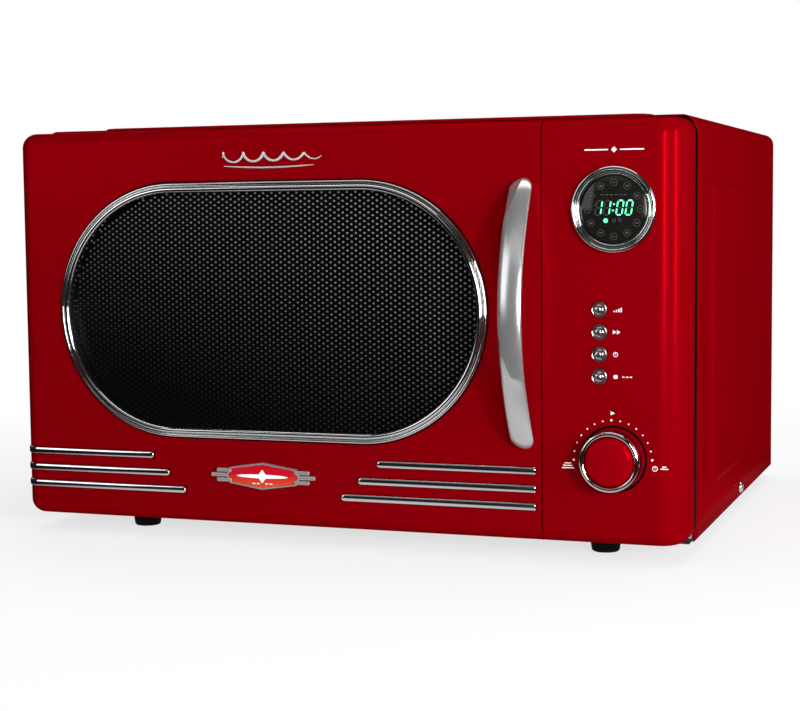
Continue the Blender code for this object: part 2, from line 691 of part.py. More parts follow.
def turntable():
    x, y = CENTRE_X, CENTRE_Y
    tray = [
        (0.0, 0.0040), (0.0950, 0.0040), (0.1120, 0.0060), (0.1240, 0.0125), (TRAY_RADIUS, 0.0125),
        (0.1160, 0.0015), (0.1020, 0.0), (0.0, 0.0),
    ]
    turned("glass_tray", tray, (x, y, TRAY_Z), CLEAR_GLASS, steps=48)
    level = FLOOR + ROLLER_RADIUS + GAP
    ring = [(0.0830, 0.0022), (0.0830, -0.0022), (0.0770, -0.0022), (0.0770, 0.0022)]
    ring = turned("roller_ring", ring, (x, y, level), WHITE_PLASTIC, steps=48)
    for number in range(ROLLERS):
        angle = math.tau * number / ROLLERS
        wheel = [(0.0026, 0.0028), (ROLLER_RADIUS, 0.0028), (ROLLER_RADIUS, -0.0028), (0.0026, -0.0028)]
        spot = (x + ROLLER_TRACK * math.cos(angle), y + ROLLER_TRACK * math.sin(angle), level)
        wheel = turned(f"roller_wheel_{number + 1}", wheel, spot, WHITE_PLASTIC, steps=20)
        wheel.rotation_euler = (0.0, math.pi / 2, angle)
        axle = rod("roller_axle", (x + 0.080, y, level), (x + 0.096, y, level), 0.0018, WHITE_PLASTIC, 12)
        axle.location = (
            LEFT + x + 0.0880 * math.cos(angle),
            FRONT + y + 0.0880 * math.sin(angle),
            FOOT_DROP + level,
        )
        axle.rotation_euler = (0.0, math.pi / 2, angle)
        join(ring, axle)
    lobes = []
    for step in range(36):
        angle = math.tau * step / 36
        radius = 0.0125 + 0.0045 * math.cos(3 * angle)
        lobes.append((radius * math.cos(angle), radius * math.sin(angle)))
    head_low, head_high = FLOOR + 0.0010, TRAY_Z - GAP
    place = (x, y, (head_low + head_high) / 2)
    coupler = flat("drive_coupler", lobes, head_high - head_low, place, WHITE_PLASTIC, upright=False)
    join(coupler, rod("drive_shaft", (x, y, 0.0180), (x, y, head_low + 0.002), 0.0045, WHITE_PLASTIC, 16))
    rod("turntable_motor", (x, y, BASE_TOP + GAP), (x, y, 0.0176), 0.0250, GALVANISED, 28)


# ---- Right-hand compartment ----


def magnetron():
    """The valve in its steel cage, with cooling fins across it and its antenna towards the waveguide."""
    body = block("magnetron", (0.3565, 0.150, 0.135), (0.4300, 0.220, 0.200), GALVANISED, 0.001, 1)
    for number in range(5):
        x = 0.3660 + 0.012 * number
        for low, high in ((0.1490, 0.1650), (0.2050, 0.2210)):
            gap = block("fin_gap", (x, low, 0.142), (x + 0.006, high, 0.193), BLACK_PLASTIC)
            combine(body, gap)
    join(body, rod("antenna", (0.3450, 0.185, 0.1675), (0.3600, 0.185, 0.1675), 0.009, GALVANISED, 20))
    return body


def waveguide():
    x0 = CAVITY[0][1] + SHEET + GAP
    guide = block("waveguide", (x0, 0.115, 0.140), (0.3560, 0.222, 0.195), GALVANISED)
    combine(guide, block("guide_space", (x0 - 0.01, 0.120, 0.145), (0.3550, 0.217, 0.190), BLACK_PLASTIC))
    drill(guide, (0.3500, 0.185, 0.1675), (0.3650, 0.185, 0.1675), 0.0105)
    x1 = CAVITY[0][1] - GAP
    block("waveguide_cover", (x1 - 0.0006, 0.120, 0.142), (x1, 0.210, 0.188), MICA)
    return guide


def transformer():
    bottom = BASE_TOP + GAP
    core = block("hv_transformer", (0.3450, 0.235, bottom), (0.4290, 0.300, 0.0760), GALVANISED, 0.001, 1)
    join(core, block("windings", (0.3560, 0.222, 0.0160), (0.4180, 0.313, 0.0580), COPPER, 0.006))
    return core


def capacitor():
    bottom = BASE_TOP + GAP
    top = 0.092
    place = (0.3900, 0.180, (top + bottom) / 2)
    can = flat("hv_capacitor", stadium(0.016, 0.010, 8), top - bottom, place, GALVANISED, upright=False)
    for y in (0.172, 0.188):
        terminal = ((0.388, y - 0.0004, top - 0.002), (0.393, y + 0.0004, top + 0.008))
        join(can, block("terminal", *terminal, GALVANISED))
    return can


def fan():
    x, z = FAN
    hub = rod("fan_blade", (x, 0.3300, z), (x, 0.3440, z), 0.0100, BLACK_PLASTIC, 24)
    for number in range(5):
        angle = math.tau * number / 5
        low, high = (x + 0.006, 0.3364, z - 0.012), (x + 0.040, 0.3380, z + 0.012)
        blade = block("blade", low, high, BLACK_PLASTIC)
        middle = at(x, 0.3372, z)
        move_origin(blade, middle)
        for vertex in blade.data.vertices:
            vertex.co.y += 0.35 * vertex.co.z
        blade.rotation_euler = (0.0, -angle, 0.0)
        join(hub, blade)
    low, high = (x - 0.024, 0.3080, z - 0.024), (x + 0.024, 0.3240, z + 0.024)
    motor = block("fan_motor", low, high, GALVANISED, 0.002)
    join(motor, rod("fan_shaft", (x, 0.3200, z), (x, 0.3295, z), 0.0020, GALVANISED, 12))
    shroud = block("fan_shroud", (0.3360, 0.3500, 0.1180), (0.4340, 0.3515, 0.2400), BLACK_PLASTIC)
    drill(shroud, (x, 0.34, z), (x, 0.36, z), 0.0440, 40)


def lamp():
    return rod("cavity_lamp", (0.350, 0.120, 0.2140), (0.350, 0.120, 0.2400), 0.0085, WHITE_PLASTIC, 20)


def interlock():
    """The switch bracket behind the front frame that the door's hooks work."""
    low, high = (0.3350, 0.0400, 0.0440), (0.3415, 0.0700, 0.2060)
    body = block("interlock_bracket", low, high, WHITE_PLASTIC, 0.001, 1)
    for z in LATCH_HEIGHTS:
        switch = ((0.3400, 0.0560, z - 0.010), (0.3560, 0.0680, z + 0.006))
        join(body, block("switch", *switch, BLACK_PLASTIC))
    return body


# ---- Joints ----


def carry_on_axis(name, place, nodes):
    """Hangs nodes on an empty that stands on their joint's axis, and leaves them where they are."""
    empty = bpy.data.objects.new(name, None)
    empty.location = at(*place)
    empty.empty_display_size = 0.03
    PARTS.objects.link(empty)
    bpy.context.view_layer.update()
    for node in nodes:
        child = bpy.data.objects[node]
        child.parent = empty
        child.matrix_parent_inverse = empty.matrix_world.inverted()


def joint_carriers():
    door = [
        "door_shell", "window_trim_ring", "window_glass", "window_screen", "door_inner_panel",
        "door_handle", "door_badge", "top_ornament", "door_latch",
    ]
    for number in (1, 2, 3):
        door += [f"trim_bar_left_{number}", f"trim_bar_right_{number}"]
    carry_on_axis("door_hinge_axis", (*HINGE, 0.125), door)


def build():
    outer_cabinet()
    base_plate()
    rear_panel()
    mains_gland()
    feet()
    cabinet_screws()
    front_frame()
    cavity_liner()
    door_shell()
    hinge_brackets()
    window()
    door_inner_panel()
    door_latch()
    door_handle()
    trim_bars()
    badge()
    top_ornament()
    control_panel()
    display()
    control_board()
    knob()
    buttons()
    turntable()
    magnetron()
    waveguide()
    transformer()
    capacitor()
    fan()
    lamp()
    interlock()
    joint_carriers()


build()
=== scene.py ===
import json
import math

import bmesh
import bpy
from mathutils import Matrix, Vector


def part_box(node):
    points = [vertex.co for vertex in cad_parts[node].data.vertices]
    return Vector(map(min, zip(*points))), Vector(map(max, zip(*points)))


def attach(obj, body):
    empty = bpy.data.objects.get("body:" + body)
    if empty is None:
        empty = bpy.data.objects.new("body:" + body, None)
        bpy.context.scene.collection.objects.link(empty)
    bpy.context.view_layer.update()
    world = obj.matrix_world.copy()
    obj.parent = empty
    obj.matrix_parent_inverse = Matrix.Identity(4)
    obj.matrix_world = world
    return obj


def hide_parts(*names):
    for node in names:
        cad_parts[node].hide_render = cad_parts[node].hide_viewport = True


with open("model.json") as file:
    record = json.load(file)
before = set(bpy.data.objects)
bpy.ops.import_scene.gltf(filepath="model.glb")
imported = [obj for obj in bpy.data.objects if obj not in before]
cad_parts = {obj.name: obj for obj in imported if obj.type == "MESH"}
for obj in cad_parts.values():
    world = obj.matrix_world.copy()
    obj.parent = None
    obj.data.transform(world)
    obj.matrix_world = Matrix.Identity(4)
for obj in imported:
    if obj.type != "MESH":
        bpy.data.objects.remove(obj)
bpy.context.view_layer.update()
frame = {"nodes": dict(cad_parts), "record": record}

# Every place below is measured from the left and the front of the front mouldings, and up from a level
# just above their lower edge.
BOTTOM = -0.0017
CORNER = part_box("door_shell")[0] - Vector((0.0, 0.0, BOTTOM))
DOOR_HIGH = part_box("door_shell")[1]
PANEL_LOW, PANEL_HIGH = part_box("control_panel")
DEPTH = DOOR_HIGH.y - CORNER.y
TOP = DOOR_HIGH.z - CORNER.z
WIDTH = PANEL_HIGH.x - CORNER.x
DOOR_RIGHT = DOOR_HIGH.x - CORNER.x
WALL = 0.0025
TOP_FILLET = 0.0095
LEFT_FILLET = 0.010
RIGHT_FILLET = 0.018
FRONT = Vector((0.0, -1.0, 0.0))
UPWARD = Vector((0.0, 0.0, 1.0))


def at(x, y, z):
    """A place measured from the mouldings' corner: right, back and up."""
    return CORNER + Vector((x, y, z))


def middle_of(node):
    low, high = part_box(node)
    return (low + high) / 2 - CORNER


# ---- Camera ----

CAMERA_PLACE = (0.623, -0.9875, 0.1963)
CAMERA_YAW = math.radians(19.916)
CAMERA_PITCH = math.radians(4.782)
CAMERA_ROLL = math.radians(-0.589)
CAMERA_LENS = 77.94


def add_camera():
    data = bpy.data.cameras.new("camera")
    data.lens = CAMERA_LENS
    data.sensor_width = 36.0
    camera = bpy.data.objects.new("camera", data)
    bpy.context.scene.collection.objects.link(camera)
    forward = Vector((
        -math.sin(CAMERA_YAW) * math.cos(CAMERA_PITCH),
        math.cos(CAMERA_YAW) * math.cos(CAMERA_PITCH),
        -math.sin(CAMERA_PITCH),
    ))
    level = Vector((math.cos(CAMERA_YAW), math.sin(CAMERA_YAW), 0.0))
    upright = level.cross(forward)
    right = level * math.cos(CAMERA_ROLL) + upright * math.sin(CAMERA_ROLL)
    up = upright * math.cos(CAMERA_ROLL) - level * math.sin(CAMERA_ROLL)
    turn = Matrix((right, up, -forward)).transposed().to_4x4()
    camera.matrix_world = Matrix.Translation(at(*CAMERA_PLACE)) @ turn
    bpy.context.scene.camera = camera


add_camera()

# ---- Studio ----


WHITE = (1.0, 1.0, 1.0, 1.0)


def nodes_of(owner):
    owner.use_nodes = True
    return owner.node_tree.nodes, owner.node_tree.links


def new_node(nodes, kind, values=()):
    """A shader node of a kind, with some of its sockets set."""
    node = nodes.new("ShaderNode" + kind)
    for socket, value in dict(values).items():
        node.inputs[socket].default_value = value
    return node


def mix_shaders(nodes, links, share, one, other):
    mixed = new_node(nodes, "MixShader")
    links.new(share, mixed.inputs[0])
    links.new(one.outputs[0], mixed.inputs[1])
    links.new(other.outputs[0], mixed.inputs[2])
    return mixed


def add_world():
    """White to the eye, dim to reflections, so that gloss shows the light boxes and not the sky."""
    world = bpy.data.worlds.new("studio")
    bpy.context.scene.world = world
    nodes, links = nodes_of(world)
    nodes.clear()
    out = new_node(nodes, "OutputWorld")
    ray = new_node(nodes, "LightPath")
    seen = new_node(nodes, "Background", {"Color": WHITE, "Strength": 1.0})
    lit = new_node(nodes, "Background", {"Color": WHITE, "Strength": 0.22})
    mirrored = new_node(nodes, "Background", {"Color": WHITE, "Strength": 0.02})
    bounced = mix_shaders(nodes, links, ray.outputs["Is Glossy Ray"], lit, mirrored)
    both = mix_shaders(nodes, links, ray.outputs["Is Camera Ray"], bounced, seen)
    links.new(both.outputs[0], out.inputs[0])


def add_floor():
    """A white floor with a soft shadow, which fades into the white behind it and stays dim in reflections."""
    bpy.ops.mesh.primitive_plane_add(size=16.0, location=(0.0, 0.0, -0.0004))
    floor = bpy.context.object
    floor.name = "floor"
    made = bpy.data.materials.new("floor")
    nodes, links = nodes_of(made)
    nodes.clear()
    out = new_node(nodes, "OutputMaterial")
    ray = new_node(nodes, "LightPath")
    pale = new_node(nodes, "BsdfDiffuse", {"Color": (0.97, 0.97, 0.97, 1.0)})
    dim = new_node(nodes, "BsdfDiffuse", {"Color": (0.010, 0.010, 0.010, 1.0)})
    glow = new_node(nodes, "Emission", {"Color": WHITE, "Strength": 0.55})
    white = new_node(nodes, "Emission", {"Color": WHITE, "Strength": 1.0})
    darken = new_node(nodes, "MapRange", {"From Min": 0.26, "From Max": 0.34})
    fade = new_node(nodes, "MapRange", {"From Min": 0.30, "From Max": 0.75, "To Min": 0.70, "To Max": 1.0})
    spot = new_node(nodes, "NewGeometry")
    reach = new_node(nodes, "VectorMath")
    reach.operation = "LENGTH"
    links.new(spot.outputs["Position"], reach.inputs[0])
    for ramp in (darken, fade):
        links.new(reach.outputs["Value"], ramp.inputs["Value"])
    seen = mix_shaders(nodes, links, fade.outputs["Result"], pale, white)
    mirrored = mix_shaders(nodes, links, darken.outputs["Result"], glow, dim)
    bounced = mix_shaders(nodes, links, ray.outputs["Is Glossy Ray"], pale, mirrored)
    both = mix_shaders(nodes, links, ray.outputs["Is Camera Ray"], bounced, seen)
    links.new(both.outputs[0], out.inputs[0])
    floor.data.materials.append(made)


def light_box(name, place, size, glow, target=(0.0, 0.0, 0.13)):
    """A soft rectangular light. Its glow is how bright its face looks in a mirror."""
    data = bpy.data.lights.new(name, "AREA")
    data.shape = "RECTANGLE"
    data.size, data.size_y = size
    data.energy = glow * math.pi * size[0] * size[1]
    light = bpy.data.objects.new(name, data)
    bpy.context.scene.collection.objects.link(light)
    light.location = place
    aim = Vector(target) - Vector(place)
    light.rotation_euler = aim.to_track_quat("-Z", "Y").to_euler()
    return light


def add_lights():
    fillet = (0.205, -0.16, 0.16)
    key = light_box("key_right", (1.60, -1.68, 0.50), (0.45, 0.45), 62.0)
    key.visible_glossy = False
    light_box("front_high", (-0.2, -2.3, 1.75), (2.4, 0.7), 0.45)
    card = light_box("left_card", (-1.35, -1.60, 0.75), (0.9, 1.1), 1.6)
    card.visible_diffuse = False
    light_box("overhead", (0.0, 0.35, 2.4), (2.4, 2.2), 1.7)
    light_box("strip_near", (0.80, -1.645, 0.33), (0.20, 0.60), 25.0, fillet)
    light_box("strip_far", (1.38, -0.71, 0.35), (0.16, 0.60), 24.0, fillet)
    light_box("side_right", (2.5, 0.55, 1.1), (0.8, 1.3), 1.2)
    light_box("back_left", (-1.9, 2.0, 1.5), (1.2, 1.2), 2.0)


add_world()
add_floor()
add_lights()
bpy.context.scene.view_settings.view_transform = "Standard"

# ---- Materials ----


def finish(name, colour, roughness, metallic=0.0, coat=0.0, specular=0.5, vary=0.05, vary_scale=30.0,
           bump=0.0, bump_scale=600.0, rough_vary=0.04, rough_scale=90.0, emission=0.0, fleck=0.0,
           gleam=None):
    """A Principled surface whose colour, roughness and height vary over the piece at their own scales."""
    made = bpy.data.materials.new(name)
    nodes, links = nodes_of(made)
    shader = nodes["Principled BSDF"]
    shader.inputs["Metallic"].default_value = metallic
    shader.inputs["Coat Weight"].default_value = coat
    shader.inputs["Coat Roughness"].default_value = 0.04
    shader.inputs["Specular IOR Level"].default_value = specular
    spot = new_node(nodes, "TexCoord").outputs["Object"]

    def noise(scale, detail):
        texture = new_node(nodes, "TexNoise", {"Scale": scale, "Detail": detail})
        links.new(spot, texture.inputs["Vector"])
        return texture.outputs["Fac"]

    dark = (*[c * (1 - vary) for c in colour], 1.0)
    light = (*[min(1.0, c * (1 + vary)) for c in colour], 1.0)
    tint = nodes.new("ShaderNodeMix")
    tint.data_type = "RGBA"
    tint.inputs["A"].default_value = dark
    tint.inputs["B"].default_value = light
    links.new(noise(vary_scale, 3.0), tint.inputs["Factor"])
    shade = tint.outputs["Result"]
    if fleck:
        cells = new_node(nodes, "TexVoronoi", {"Scale": fleck})
        links.new(spot, cells.inputs["Vector"])
        blend = nodes.new("ShaderNodeMix")
        blend.data_type = "RGBA"
        blend.blend_type = "SOFT_LIGHT"
        blend.inputs["Factor"].default_value = 0.35
        links.new(shade, blend.inputs["A"])
        links.new(cells.outputs["Distance"], blend.inputs["B"])
        shade = blend.outputs["Result"]
    links.new(shade, shader.inputs["Base Color"])
    limits = {"To Min": max(0.0, roughness - rough_vary), "To Max": roughness + rough_vary}
    span = new_node(nodes, "MapRange", limits)
    links.new(noise(rough_scale, 4.0), span.inputs["Value"])
    links.new(span.outputs["Result"], shader.inputs["Roughness"])
    if bump:
        grain = new_node(nodes, "Bump", {"Strength": bump, "Distance": 0.0004})
        links.new(noise(bump_scale, 2.0), grain.inputs["Height"])
        links.new(grain.outputs["Normal"], shader.inputs["Normal"])
    if gleam:
        shader.inputs["Specular Tint"].default_value = (*gleam, 1.0)
    if emission:
        shader.inputs["Emission Color"].default_value = (*colour, 1.0)
        shader.inputs["Emission Strength"].default_value = emission
    return made


def colour_along(made, direction, low, high, stops, interpolation):
    """Colours a material by how far each point lies along a direction. stops: two (position, colour)."""
    nodes, links = nodes_of(made)
    spot = new_node(nodes, "TexCoord")
    along = nodes.new("ShaderNodeVectorMath")
    along.operation = "DOT_PRODUCT"
    along.inputs[1].default_value = direction
    span = new_node(nodes, "MapRange", {"From Min": low, "From Max": high})
    span.interpolation_type = interpolation
    ramp = new_node(nodes, "ValToRGB")
    for element, (position, colour) in zip(ramp.color_ramp.elements, stops):
        element.position = position
        element.color = (*colour, 1.0)
    links.new(spot.outputs["Object"], along.inputs[0])
    links.new(along.outputs["Value"], span.inputs["Value"])
    links.new(span.outputs["Result"], ramp.inputs["Fac"])
    links.new(ramp.outputs["Color"], nodes["Principled BSDF"].inputs["Base Color"])
    return made


def dots_with_painted_shade():
    """The screen's dots, with painted light and shade: pale towards the top right, where light reaches into
    the recess, and dark below.
    """
    made = finish("screen_dots_painted_shade", (0.03, 0.03, 0.03), 0.42, specular=0.12, vary=0.25, vary_scale=300)
    low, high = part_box("window_trim_ring")
    slant = 0.35
    # The dots' colour runs from painted shade at the lower left to painted light at the upper right.
    darkest = slant * low.x + low.z + 0.045
    palest = slant * high.x + high.z - 0.020
    stops = ((0.0, (0.0015, 0.0015, 0.0015)), (1.0, (0.150, 0.150, 0.151)))
    return colour_along(made, (slant, 0.0, 1.0), darkest, palest, stops, "SMOOTHSTEP")


def badge_enamel():
    """Enamel that runs from deep red at the top to orange at the bottom."""
    made = finish("badge_enamel", (0.5, 0.03, 0.01), 0.18, specular=0.15, vary=0.0)
    low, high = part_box("door_badge")
    stops = ((0.10, (0.55, 0.060, 0.012)), (0.60, (0.42, 0.003, 0.014)))
    return colour_along(made, (0.0, 0.0, 1.0), low.z, high.z, stops, "LINEAR")


RED = (0.20, 0.0, 0.0024)
RED_GLEAM = (1.0, 0.03, 0.07)
RED_LOOK = {"metallic": 0.22, "specular": 0.0, "vary": 0.02, "gleam": RED_GLEAM, "rough_vary": 0.02}
RED_PLASTIC = finish("red_moulding", RED, 0.20, bump=0.006, bump_scale=900, **RED_LOOK)
RED_CAP = finish("red_knob", (0.24, 0.0, 0.0030), 0.20, **RED_LOOK)
RED_PAINT = finish("red_enamel", RED, 0.24, bump=0.004, bump_scale=500, **RED_LOOK)
CHROME = finish("bright_chrome", (0.88, 0.88, 0.89), 0.08, metallic=1.0, vary=0.02, rough_vary=0.025,
                rough_scale=200)
SATIN = finish("satin_chrome", (0.70, 0.70, 0.70), 0.25, metallic=0.85, vary=0.04, bump=0.02, bump_scale=1500)
BRIGHT_TRIM = finish("ornament_chrome", (0.74, 0.73, 0.73), 0.24, metallic=0.6, vary=0.03)
PALE_CHROME = finish("pale_chrome", (0.42, 0.41, 0.41), 0.28, metallic=0.6, vary=0.03, rough_vary=0.05)
BUTTON_CHROME = finish("button_chrome", (0.52, 0.52, 0.52), 0.20, metallic=0.97, vary=0.03, rough_vary=0.03)
SCREEN = finish("screen_black", (0.0010, 0.0010, 0.0010), 0.45, specular=0.05, vary=0.2)
BLACK_GLASS = finish("display_black", (0.0075, 0.0068, 0.0055), 0.10, specular=0.4, vary=0.2)
# Black put where gaps and recesses lie in shadow: painted shade.
PAINTED_SHADE_BLACK = finish("painted_shade_black", (0.002, 0.0015, 0.0015), 0.8, specular=0.05, vary=0.2)
DIM_INK = finish("display_dim", (0.042, 0.040, 0.036), 0.5, vary=0.2)
GHOST_INK = finish("display_ghost", (0.016, 0.030, 0.024), 0.5, vary=0.2)
GREEN_GLOW = finish("display_green", (0.10, 0.95, 0.42), 0.5, vary=0.0, emission=1.1)
WHITE_INK = finish("white_print", (0.80, 0.76, 0.76), 0.5, vary_scale=400)
BADGE = badge_enamel()
PAINTED_SHADE_DOTS = dots_with_painted_shade()
RUBBER = finish("black_rubber", (0.002, 0.002, 0.002), 0.8, specular=0.1, vary=0.3, bump=0.4, bump_scale=900)
ZINC = finish("zinc_sheet", (0.46, 0.47, 0.48), 0.40, metallic=0.65, vary=0.08, vary_scale=14, fleck=60.0,
              rough_vary=0.1)
DARK_STEEL = finish("dark_steel", (0.012, 0.012, 0.012), 0.5, metallic=0.4, vary=0.2, rough_vary=0.1)
ENAMEL = finish("cavity_enamel", (0.42, 0.42, 0.40), 0.34, coat=0.3, bump=0.10, bump_scale=500, fleck=900.0)
BLACK_PLASTIC = finish("black_plastic", (0.016, 0.016, 0.017), 0.5, vary=0.2, bump=0.2, bump_scale=1200)
WHITE_PLASTIC = finish("white_plastic", (0.58, 0.57, 0.54), 0.42, bump=0.05, bump_scale=900)
BOARD = finish("board_green", (0.02, 0.13, 0.05), 0.45, coat=0.3, vary=0.25, vary_scale=120)
WINDING = finish("varnished_winding", (0.20, 0.07, 0.03), 0.4, coat=0.3, vary=0.3, vary_scale=250, bump=0.5,
                 bump_scale=1800)
MICA = finish("mica", (0.46, 0.40, 0.31), 0.45, vary=0.25, vary_scale=60, bump=0.2, bump_scale=300)
TRAY = finish("tray_glass", (0.86, 0.93, 0.90), 0.05, vary=0.02)
TRAY.node_tree.nodes["Principled BSDF"].inputs["Transmission Weight"].default_value = 0.92
TRAY.node_tree.nodes["Principled BSDF"].inputs["IOR"].default_value = 1.5

# ---- Shapes ----


def add_piece(name, bm, material, body, replaced=(), smooth=32.0):
    bmesh.ops.recalc_face_normals(bm, faces=bm.faces)
    mesh = bpy.data.meshes.new(name)
    bm.to_mesh(mesh)
    bm.free()
    mesh.shade_smooth()
    mesh.set_sharp_from_angle(angle=math.radians(smooth))
    piece = bpy.data.objects.new(name, mesh)
    bpy.context.scene.collection.objects.link(piece)
    mesh.materials.append(material)
    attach(piece, body)
    if replaced:
        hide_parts(*replaced)
    return piece


def even_shading(piece):
    """Keeps large flat faces flat to the eye next to their rounded edges."""
    weighted = piece.modifiers.new("Even", "WEIGHTED_NORMAL")
    weighted.keep_sharp = True
    weighted.weight = 100


def loft(bm, rings, closed=True, caps=True):
    """Joins rings of points with quads. The rings are closed loops if closed is set."""
    rows = [[bm.verts.new(point) for point in ring] for ring in rings]
    count = len(rows[0])
    for one, other in zip(rows, rows[1:]):
        for i in range(count if closed else count - 1):
            j = (i + 1) % count
            bm.faces.new((one[i], one[j], other[j], other[i]))
    if caps:
        bm.faces.new(rows[0])
        bm.faces.new(rows[-1])


def lathe(bm, profile, centre, steps=72, axis=FRONT):
    """Turns (radius, height) pairs about an axis. A radius of zero at either end closes the shape."""
    side = Vector((1.0, 0.0, 0.0))
    other = axis.cross(side)
    rows = []
    for radius, height in profile:
        middle = centre + axis * height
        circle = arc((0, 0), radius, 0, 360, steps)[:-1] if radius > 0 else [(0, 0)]
        rows.append([bm.verts.new(middle + side * a + other * b) for a, b in circle])
    if len(rows[0]) > 1 and len(rows[-1]) > 1:
        rows.append(rows[0])
    for one, two in zip(rows, rows[1:]):
        for i in range(steps):
            j = (i + 1) % steps
            corners = (one[i % len(one)], one[j % len(one)], two[j % len(two)], two[i % len(two)])
            bm.faces.new(tuple(dict.fromkeys(corners)))


def turned_piece(name, profile, place, material, body, node, steps=96, axis=FRONT, smooth=40.0):
    """A piece turned about an axis, in place of a CAD node."""
    bm = bmesh.new()
    lathe(bm, profile, place, steps, axis)
    add_piece(name, bm, material, body, [node], smooth)


def foot_of(node):
    """The middle of the underside of a node's box."""
    low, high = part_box(node)
    return Vector(((low.x + high.x) / 2, (low.y + high.y) / 2, low.z))


def closed_loft(bm, rings):
    """Lofts the rings round to the first one again."""
    loft(bm, rings + rings[:1], caps=False)
    bmesh.ops.remove_doubles(bm, verts=bm.verts, dist=0.0000001)


def arc(centre, radius, start, end, steps, tall=None):
    """Points on a circle, or on an ellipse if its second half-width is given, between two angles."""
    points = []
    tall = tall or radius
    for step in range(steps + 1):
        angle = math.radians(start + (end - start) * step / steps)
        points.append((centre[0] + radius * math.cos(angle), centre[1] + tall * math.sin(angle)))
    return points


def plate(bm, outline, front, back, centre):
    """A flat shape that faces the front: (x, z) points about a centre, between two depths."""
    rings = [[at(centre[0] + x, depth, centre[1] + z) for x, z in outline] for depth in (front, back)]
    loft(bm, rings)


def round_outline(half_x, half_z, radius, steps=6):
    points = []
    for sx, sz, start in ((1, 1, 0), (-1, 1, 90), (-1, -1, 180), (1, -1, 270)):
        points += arc((sx * (half_x - radius), sz * (half_z - radius)), radius, start, start + 90, steps)
    return points


def stadium(radius, half_run, steps=40):
    return arc((half_run, 0), radius, -90, 90, steps) + arc((-half_run, 0), radius, 90, 270, steps)


def box_mesh(low, high):
    bm = bmesh.new()
    bmesh.ops.create_cube(bm, size=1.0)
    for vertex in bm.verts:
        for axis in range(3):
            middle = (low[axis] + high[axis]) / 2
            vertex.co[axis] = middle + vertex.co[axis] * (high[axis] - low[axis])
    return bm


def near(value, target):
    return abs(value - target) < 0.00001


def moulding_mesh(low, high, front_fillet, back_fillet, top_fillet, outer):
    """A front moulding's solid. outer is the x of the side whose upright edges are rounded."""
    low, high = at(*low), at(*high)
    outer += CORNER.x
    inner = high.x if near(outer, low.x) else low.x
    bm = box_mesh(low, high)
    for y, radius in ((low.y, front_fillet), (high.y, back_fillet)):
        edges = [e for e in bm.edges if all(near(v.co.x, outer) and near(v.co.y, y) for v in e.verts)]
        if radius:
            bmesh.ops.bevel(bm, geom=edges, offset=radius, segments=14, profile=0.5, affect="EDGES")
    rims = []
    for edge in bm.edges:
        one, two = (v.co for v in edge.verts)
        level = any(near(one.z, z) and near(two.z, z) for z in (low.z, high.z))
        at_joint = near(one.x, inner) and near(two.x, inner)
        at_back = near(one.y, high.y) and near(two.y, high.y)
        if level and not at_joint and not at_back:
            rims.append(edge)
    bmesh.ops.bevel(bm, geom=rims, offset=top_fillet, segments=8, profile=0.5, affect="EDGES")
    return bm


def subtract(piece, cutters):
    """Cuts each mesh from the piece, for good."""
    for number, bm in enumerate(cutters):
        bmesh.ops.recalc_face_normals(bm, faces=bm.faces)
        mesh = bpy.data.meshes.new(f"cutter_{number}")
        bm.to_mesh(mesh)
        bm.free()
        tool = bpy.data.objects.new(f"cutter_{number}", mesh)
        bpy.context.scene.collection.objects.link(tool)
        cut = piece.modifiers.new("Cut", "BOOLEAN")
        cut.object = tool
        cut.solver = "EXACT"
        bpy.context.view_layer.update()
        graph = bpy.context.evaluated_depsgraph_get()
        result = bpy.data.meshes.new_from_object(piece.evaluated_get(graph))
        piece.modifiers.clear()
        piece.data = result
        bpy.data.objects.remove(tool)
    piece.data.shade_smooth()
    piece.data.set_sharp_from_angle(angle=math.radians(32))
    even_shading(piece)


# ---- Door ----

WINDOW = middle_of("window_trim_ring")
RING_LOW, RING_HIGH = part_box("window_trim_ring")
RING_OUTER = (RING_HIGH.z - RING_LOW.z) / 2
HALF_RUN = (RING_HIGH.x - RING_LOW.x) / 2 - RING_OUTER
RING_INNER = RING_OUTER - 0.0065
GLASS_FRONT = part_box("window_glass")[0].y - CORNER.y
BAR_HEIGHTS = [middle_of(f"trim_bar_left_{n}").z for n in (1, 2, 3)]
LEFT_ENDS = [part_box(f"trim_bar_left_{n}")[1].x - CORNER.x for n in (1, 2, 3)]
RIGHT_STARTS = [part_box(f"trim_bar_right_{n}")[0].x - CORNER.x for n in (1, 2, 3)]
RIGHT_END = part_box("trim_bar_right_1")[1].x - CORNER.x
BAR_HALF = 0.0022
BAR_PROUD = 0.0016
THIN = 0.00005
SIDE_PROUD = CORNER.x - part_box("trim_bar_left_1")[0].x


def upright_prism(outline, low, high):
    """A solid whose (x, y) outline runs from one height to another."""
    bm = bmesh.new()
    loft(bm, [[at(x, y, z) for x, y in outline] for z in (low, high)])
    return bm


def wrapped_path(end, outward, steps=12):
    """From the door's front round its left edge: (x, y) points a distance outside the surface."""
    corner = arc((LEFT_FILLET, LEFT_FILLET), LEFT_FILLET + outward, 270, 180, steps)
    return [(end, -outward)] + corner + [(-outward, 0.0190)]


